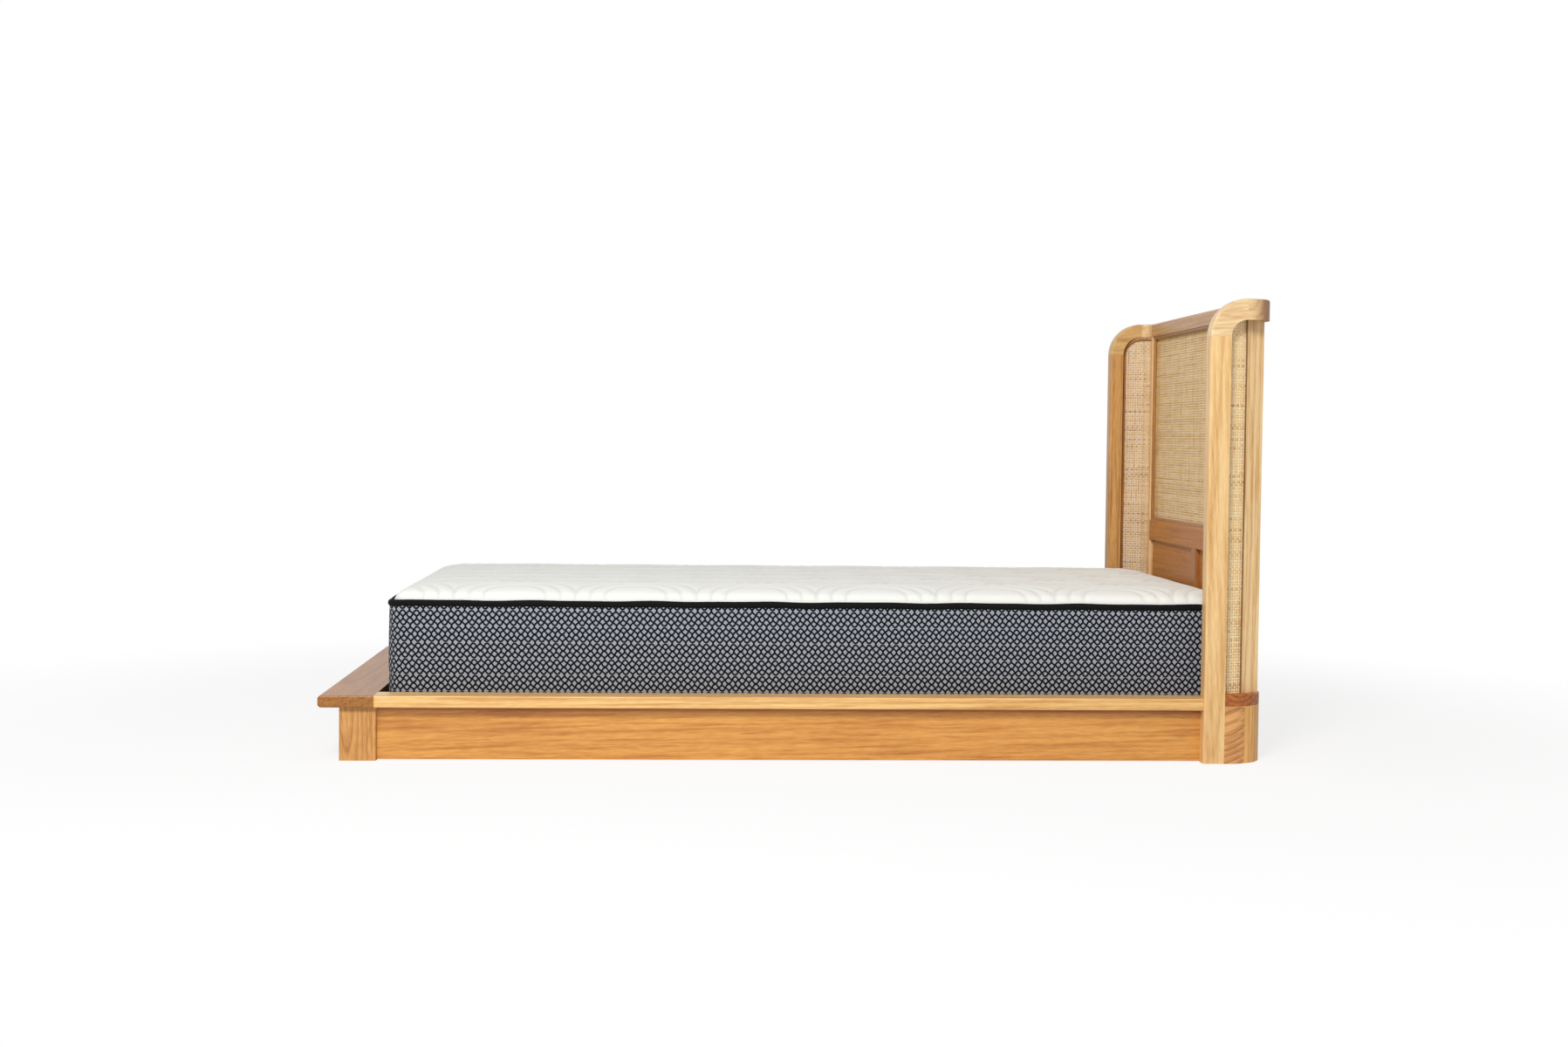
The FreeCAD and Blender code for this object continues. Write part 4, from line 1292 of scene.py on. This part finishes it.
@dataclass
class SlatScrews:
    """Countersunk cross-head screws, one where each slat lies on a cleat or on the centre beam."""

    head_radius: float = 4.2 * MM
    head_proud: float = 0.3 * MM
    head_depth: float = 1.2 * MM
    cross_span: float = 4.2 * MM
    cross_depth: float = 0.9 * MM
    cross_cells: int = 3

    def build(self) -> None:
        """Set every screw in its slat, all of them as one piece."""
        bm = bmesh.new()
        for place in self._places():
            self._screw(bm, place)
        bmesh.ops.recalc_face_normals(bm, faces=bm.faces)
        mesh = to_mesh(bm, "slat_screws")
        mesh.materials.append(PlainFinish("yellow_zinc_steel", "#c9b27a", "#9c8a5c", 1.0, 0.35).material())
        new_piece("slat_screws", mesh, FRAME_BODY)

    def _places(self) -> list[Vector]:
        """Middle of each bearing, on top of its slat.

        Returns:
            Three places for every slat.
        """
        edges = sorted({round(vert.co.x, 4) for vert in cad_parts["slats"].data.vertices})
        middles = [(first + second) / 2 for first, second in zip(edges[::2], edges[1::2])]
        cleat_low, cleat_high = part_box("side_cleat_left")
        bearing = (cleat_low.y + cleat_high.y) / 2
        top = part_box("slats")[1].z
        return [Vector((x, y, top)) for x in middles for y in (bearing, 0.0, -bearing)]

    def _screw(self, bm: BMesh, place: Vector) -> None:
        """Add one screw head with its cross recess.

        Args:
            bm: mesh of all the screws.
            place: middle of the head, on the slat's top.
        """
        lay = Matrix.Translation(place + Vector((0, 0, self.head_proud)))
        cells = self.cross_cells
        half_span = self.cross_span / 2
        made = bmesh.ops.create_grid(bm, x_segments=cells, y_segments=cells, size=half_span, matrix=lay)
        grid = made["verts"]
        faces = dict.fromkeys(face for vert in grid for face in vert.link_faces)
        inner = [edge for edge in edges_at(grid) if edge.is_boundary]
        rim = bmesh.ops.create_circle(bm, segments=4 * cells, radius=self.head_radius, matrix=lay)["verts"]
        outer = edges_at(rim)
        bmesh.ops.bridge_loops(bm, edges=inner + outer)
        cross = []
        for face in faces:
            off = face.calc_center_median() - place
            if min(abs(off.x), abs(off.y)) < half_span / cells:
                cross.append(face)
        made = bmesh.ops.extrude_face_region(bm, geom=cross)["geom"]
        sunk = [part for part in made if isinstance(part, BMVert)]
        bmesh.ops.translate(bm, verts=sunk, vec=(0, 0, -self.cross_depth))
        bmesh.ops.delete(bm, geom=cross, context="FACES")
        base = extruded(bm, outer, Vector((0, 0, -self.head_depth)))
        bmesh.ops.edgeloop_fill(bm, edges=base)


@dataclass
class Studio:
    """White studio: pale floor, soft light from the front and above, and the photograph's camera."""

    eye: tuple[float, float, float] = (-0.276, -5.032, 0.6997)
    pitch: float = 0.0402
    yaw: float = 0.0535
    roll: float = 0.0105
    lens_mm: float = 48.005
    sensor_mm: float = 36.0
    view_end: float = 200.0
    floor_size: float = 60.0
    floor_colour: str = "#f6f6f5"
    floor_lift: float = 0.8
    floor_fade: tuple[float, float] = (1.35, 2.8)
    world_strength: float = 0.33
    # Name, place, width in metres and power in watts.
    lamps: tuple[tuple[str, tuple[float, float, float], float, float], ...] = (
        ("front_softbox", (-1.4, -4.6, 3.7), 1.3, 232.0),
        ("top_softbox", (0.2, -0.6, 4.2), 4.0, 16.0),
    )
    aim: tuple[float, float, float] = (0.1, 0.0, 0.4)

    def build(self) -> None:
        """Make the camera, the lights, the world and the floor."""
        self._camera()
        self._world()
        self._lights()
        self._floor()
        bpy.context.scene.view_settings.view_transform = "Standard"

    def _camera(self) -> None:
        """Camera at the photograph's viewing angle."""
        data = bpy.data.cameras.new("camera")
        data.sensor_width = self.sensor_mm
        data.lens = self.lens_mm
        data.clip_end = self.view_end
        camera = new_object("camera", data)
        turned = Matrix.Rotation(-self.yaw, 4, "Z") @ Matrix.Rotation(QUARTER_TURN - self.pitch, 4, "X")
        camera.matrix_world = Matrix.Translation(self.eye) @ turned @ Matrix.Rotation(self.roll, 4, "Z")
        bpy.context.scene.camera = camera

    def _world(self) -> None:
        """White surroundings, seen at full white and lighting the bed softly."""
        world = bpy.data.worlds.new("studio")
        bpy.context.scene.world = world
        world.use_nodes = True
        tree = world.node_tree
        shown = add_node(tree, "LightPath", out="Is Camera Ray")
        rays = shown.node.outputs
        for name in ("Is Glossy Ray", "Is Transmission Ray"):
            shown = add_node(tree, "Math", {0: shown, 1: rays[name]}, operation="MAXIMUM")
        soft = tree.nodes["Background"]
        connect(tree, soft, {"Color": linear(WHITE), "Strength": self.world_strength})
        white = add_node(tree, "Background", {"Color": linear(WHITE), "Strength": 1.0})
        mix = add_node(tree, "MixShader", {0: shown, 1: soft.outputs[0], 2: white})
        connect(tree, tree.nodes["World Output"], {0: mix})

    def _lights(self) -> None:
        """Large soft lamps that face the bed."""
        for name, place, size, power in self.lamps:
            data = bpy.data.lights.new(name, "AREA")
            data.size = size
            data.energy = power
            turn = (Vector(self.aim) - Vector(place)).to_track_quat("-Z", "Y")
            new_object(name, data).matrix_world = Matrix.Translation(place) @ turn.to_matrix().to_4x4()

    def _floor(self) -> None:
        """Plain pale floor that keeps the bed's shadow and fades into the white."""
        bm = bmesh.new()
        bmesh.ops.create_grid(bm, x_segments=1, y_segments=1, size=self.floor_size / 2)
        mesh = to_mesh(bm, "floor")
        material, tree, shader, coords = new_material("pale_studio_floor")
        paint = {"Base Color": linear(self.floor_colour), "Roughness": 0.9, "Specular IOR Level": 0.1}
        connect(tree, shader, paint)
        away = add_node(tree, "VectorMath", {0: coords}, "Value", operation="LENGTH")
        near, far = self.floor_fade
        band = {"Value": away, "From Min": near, "From Max": far, "To Min": self.floor_lift, "To Max": 1.0}
        fade = add_node(tree, "MapRange", band, **SMOOTH_STEP)
        seen = add_node(tree, "LightPath", out="Is Camera Ray")
        share = add_node(tree, "Math", {0: fade, 1: seen}, operation="MULTIPLY")
        white = add_node(tree, "Emission", {"Color": linear(WHITE), "Strength": 1.0})
        mix = add_node(tree, "MixShader", {0: share, 1: shader.outputs[0], 2: white})
        connect(tree, tree.nodes["Material Output"], {0: mix})
        mesh.materials.append(material)
        floor = new_object("floor", mesh)


def main() -> None:
    """Build the studio, dress the frame and make the soft and woven pieces."""
    logging.basicConfig(level=logging.INFO, format="%(message)s")
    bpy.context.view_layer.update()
    Studio().build()
    Timberwork().build()
    SlatScrews().build()
    CaneWork().build()
    Mattress().build()


if __name__ == "__main__":
    main()
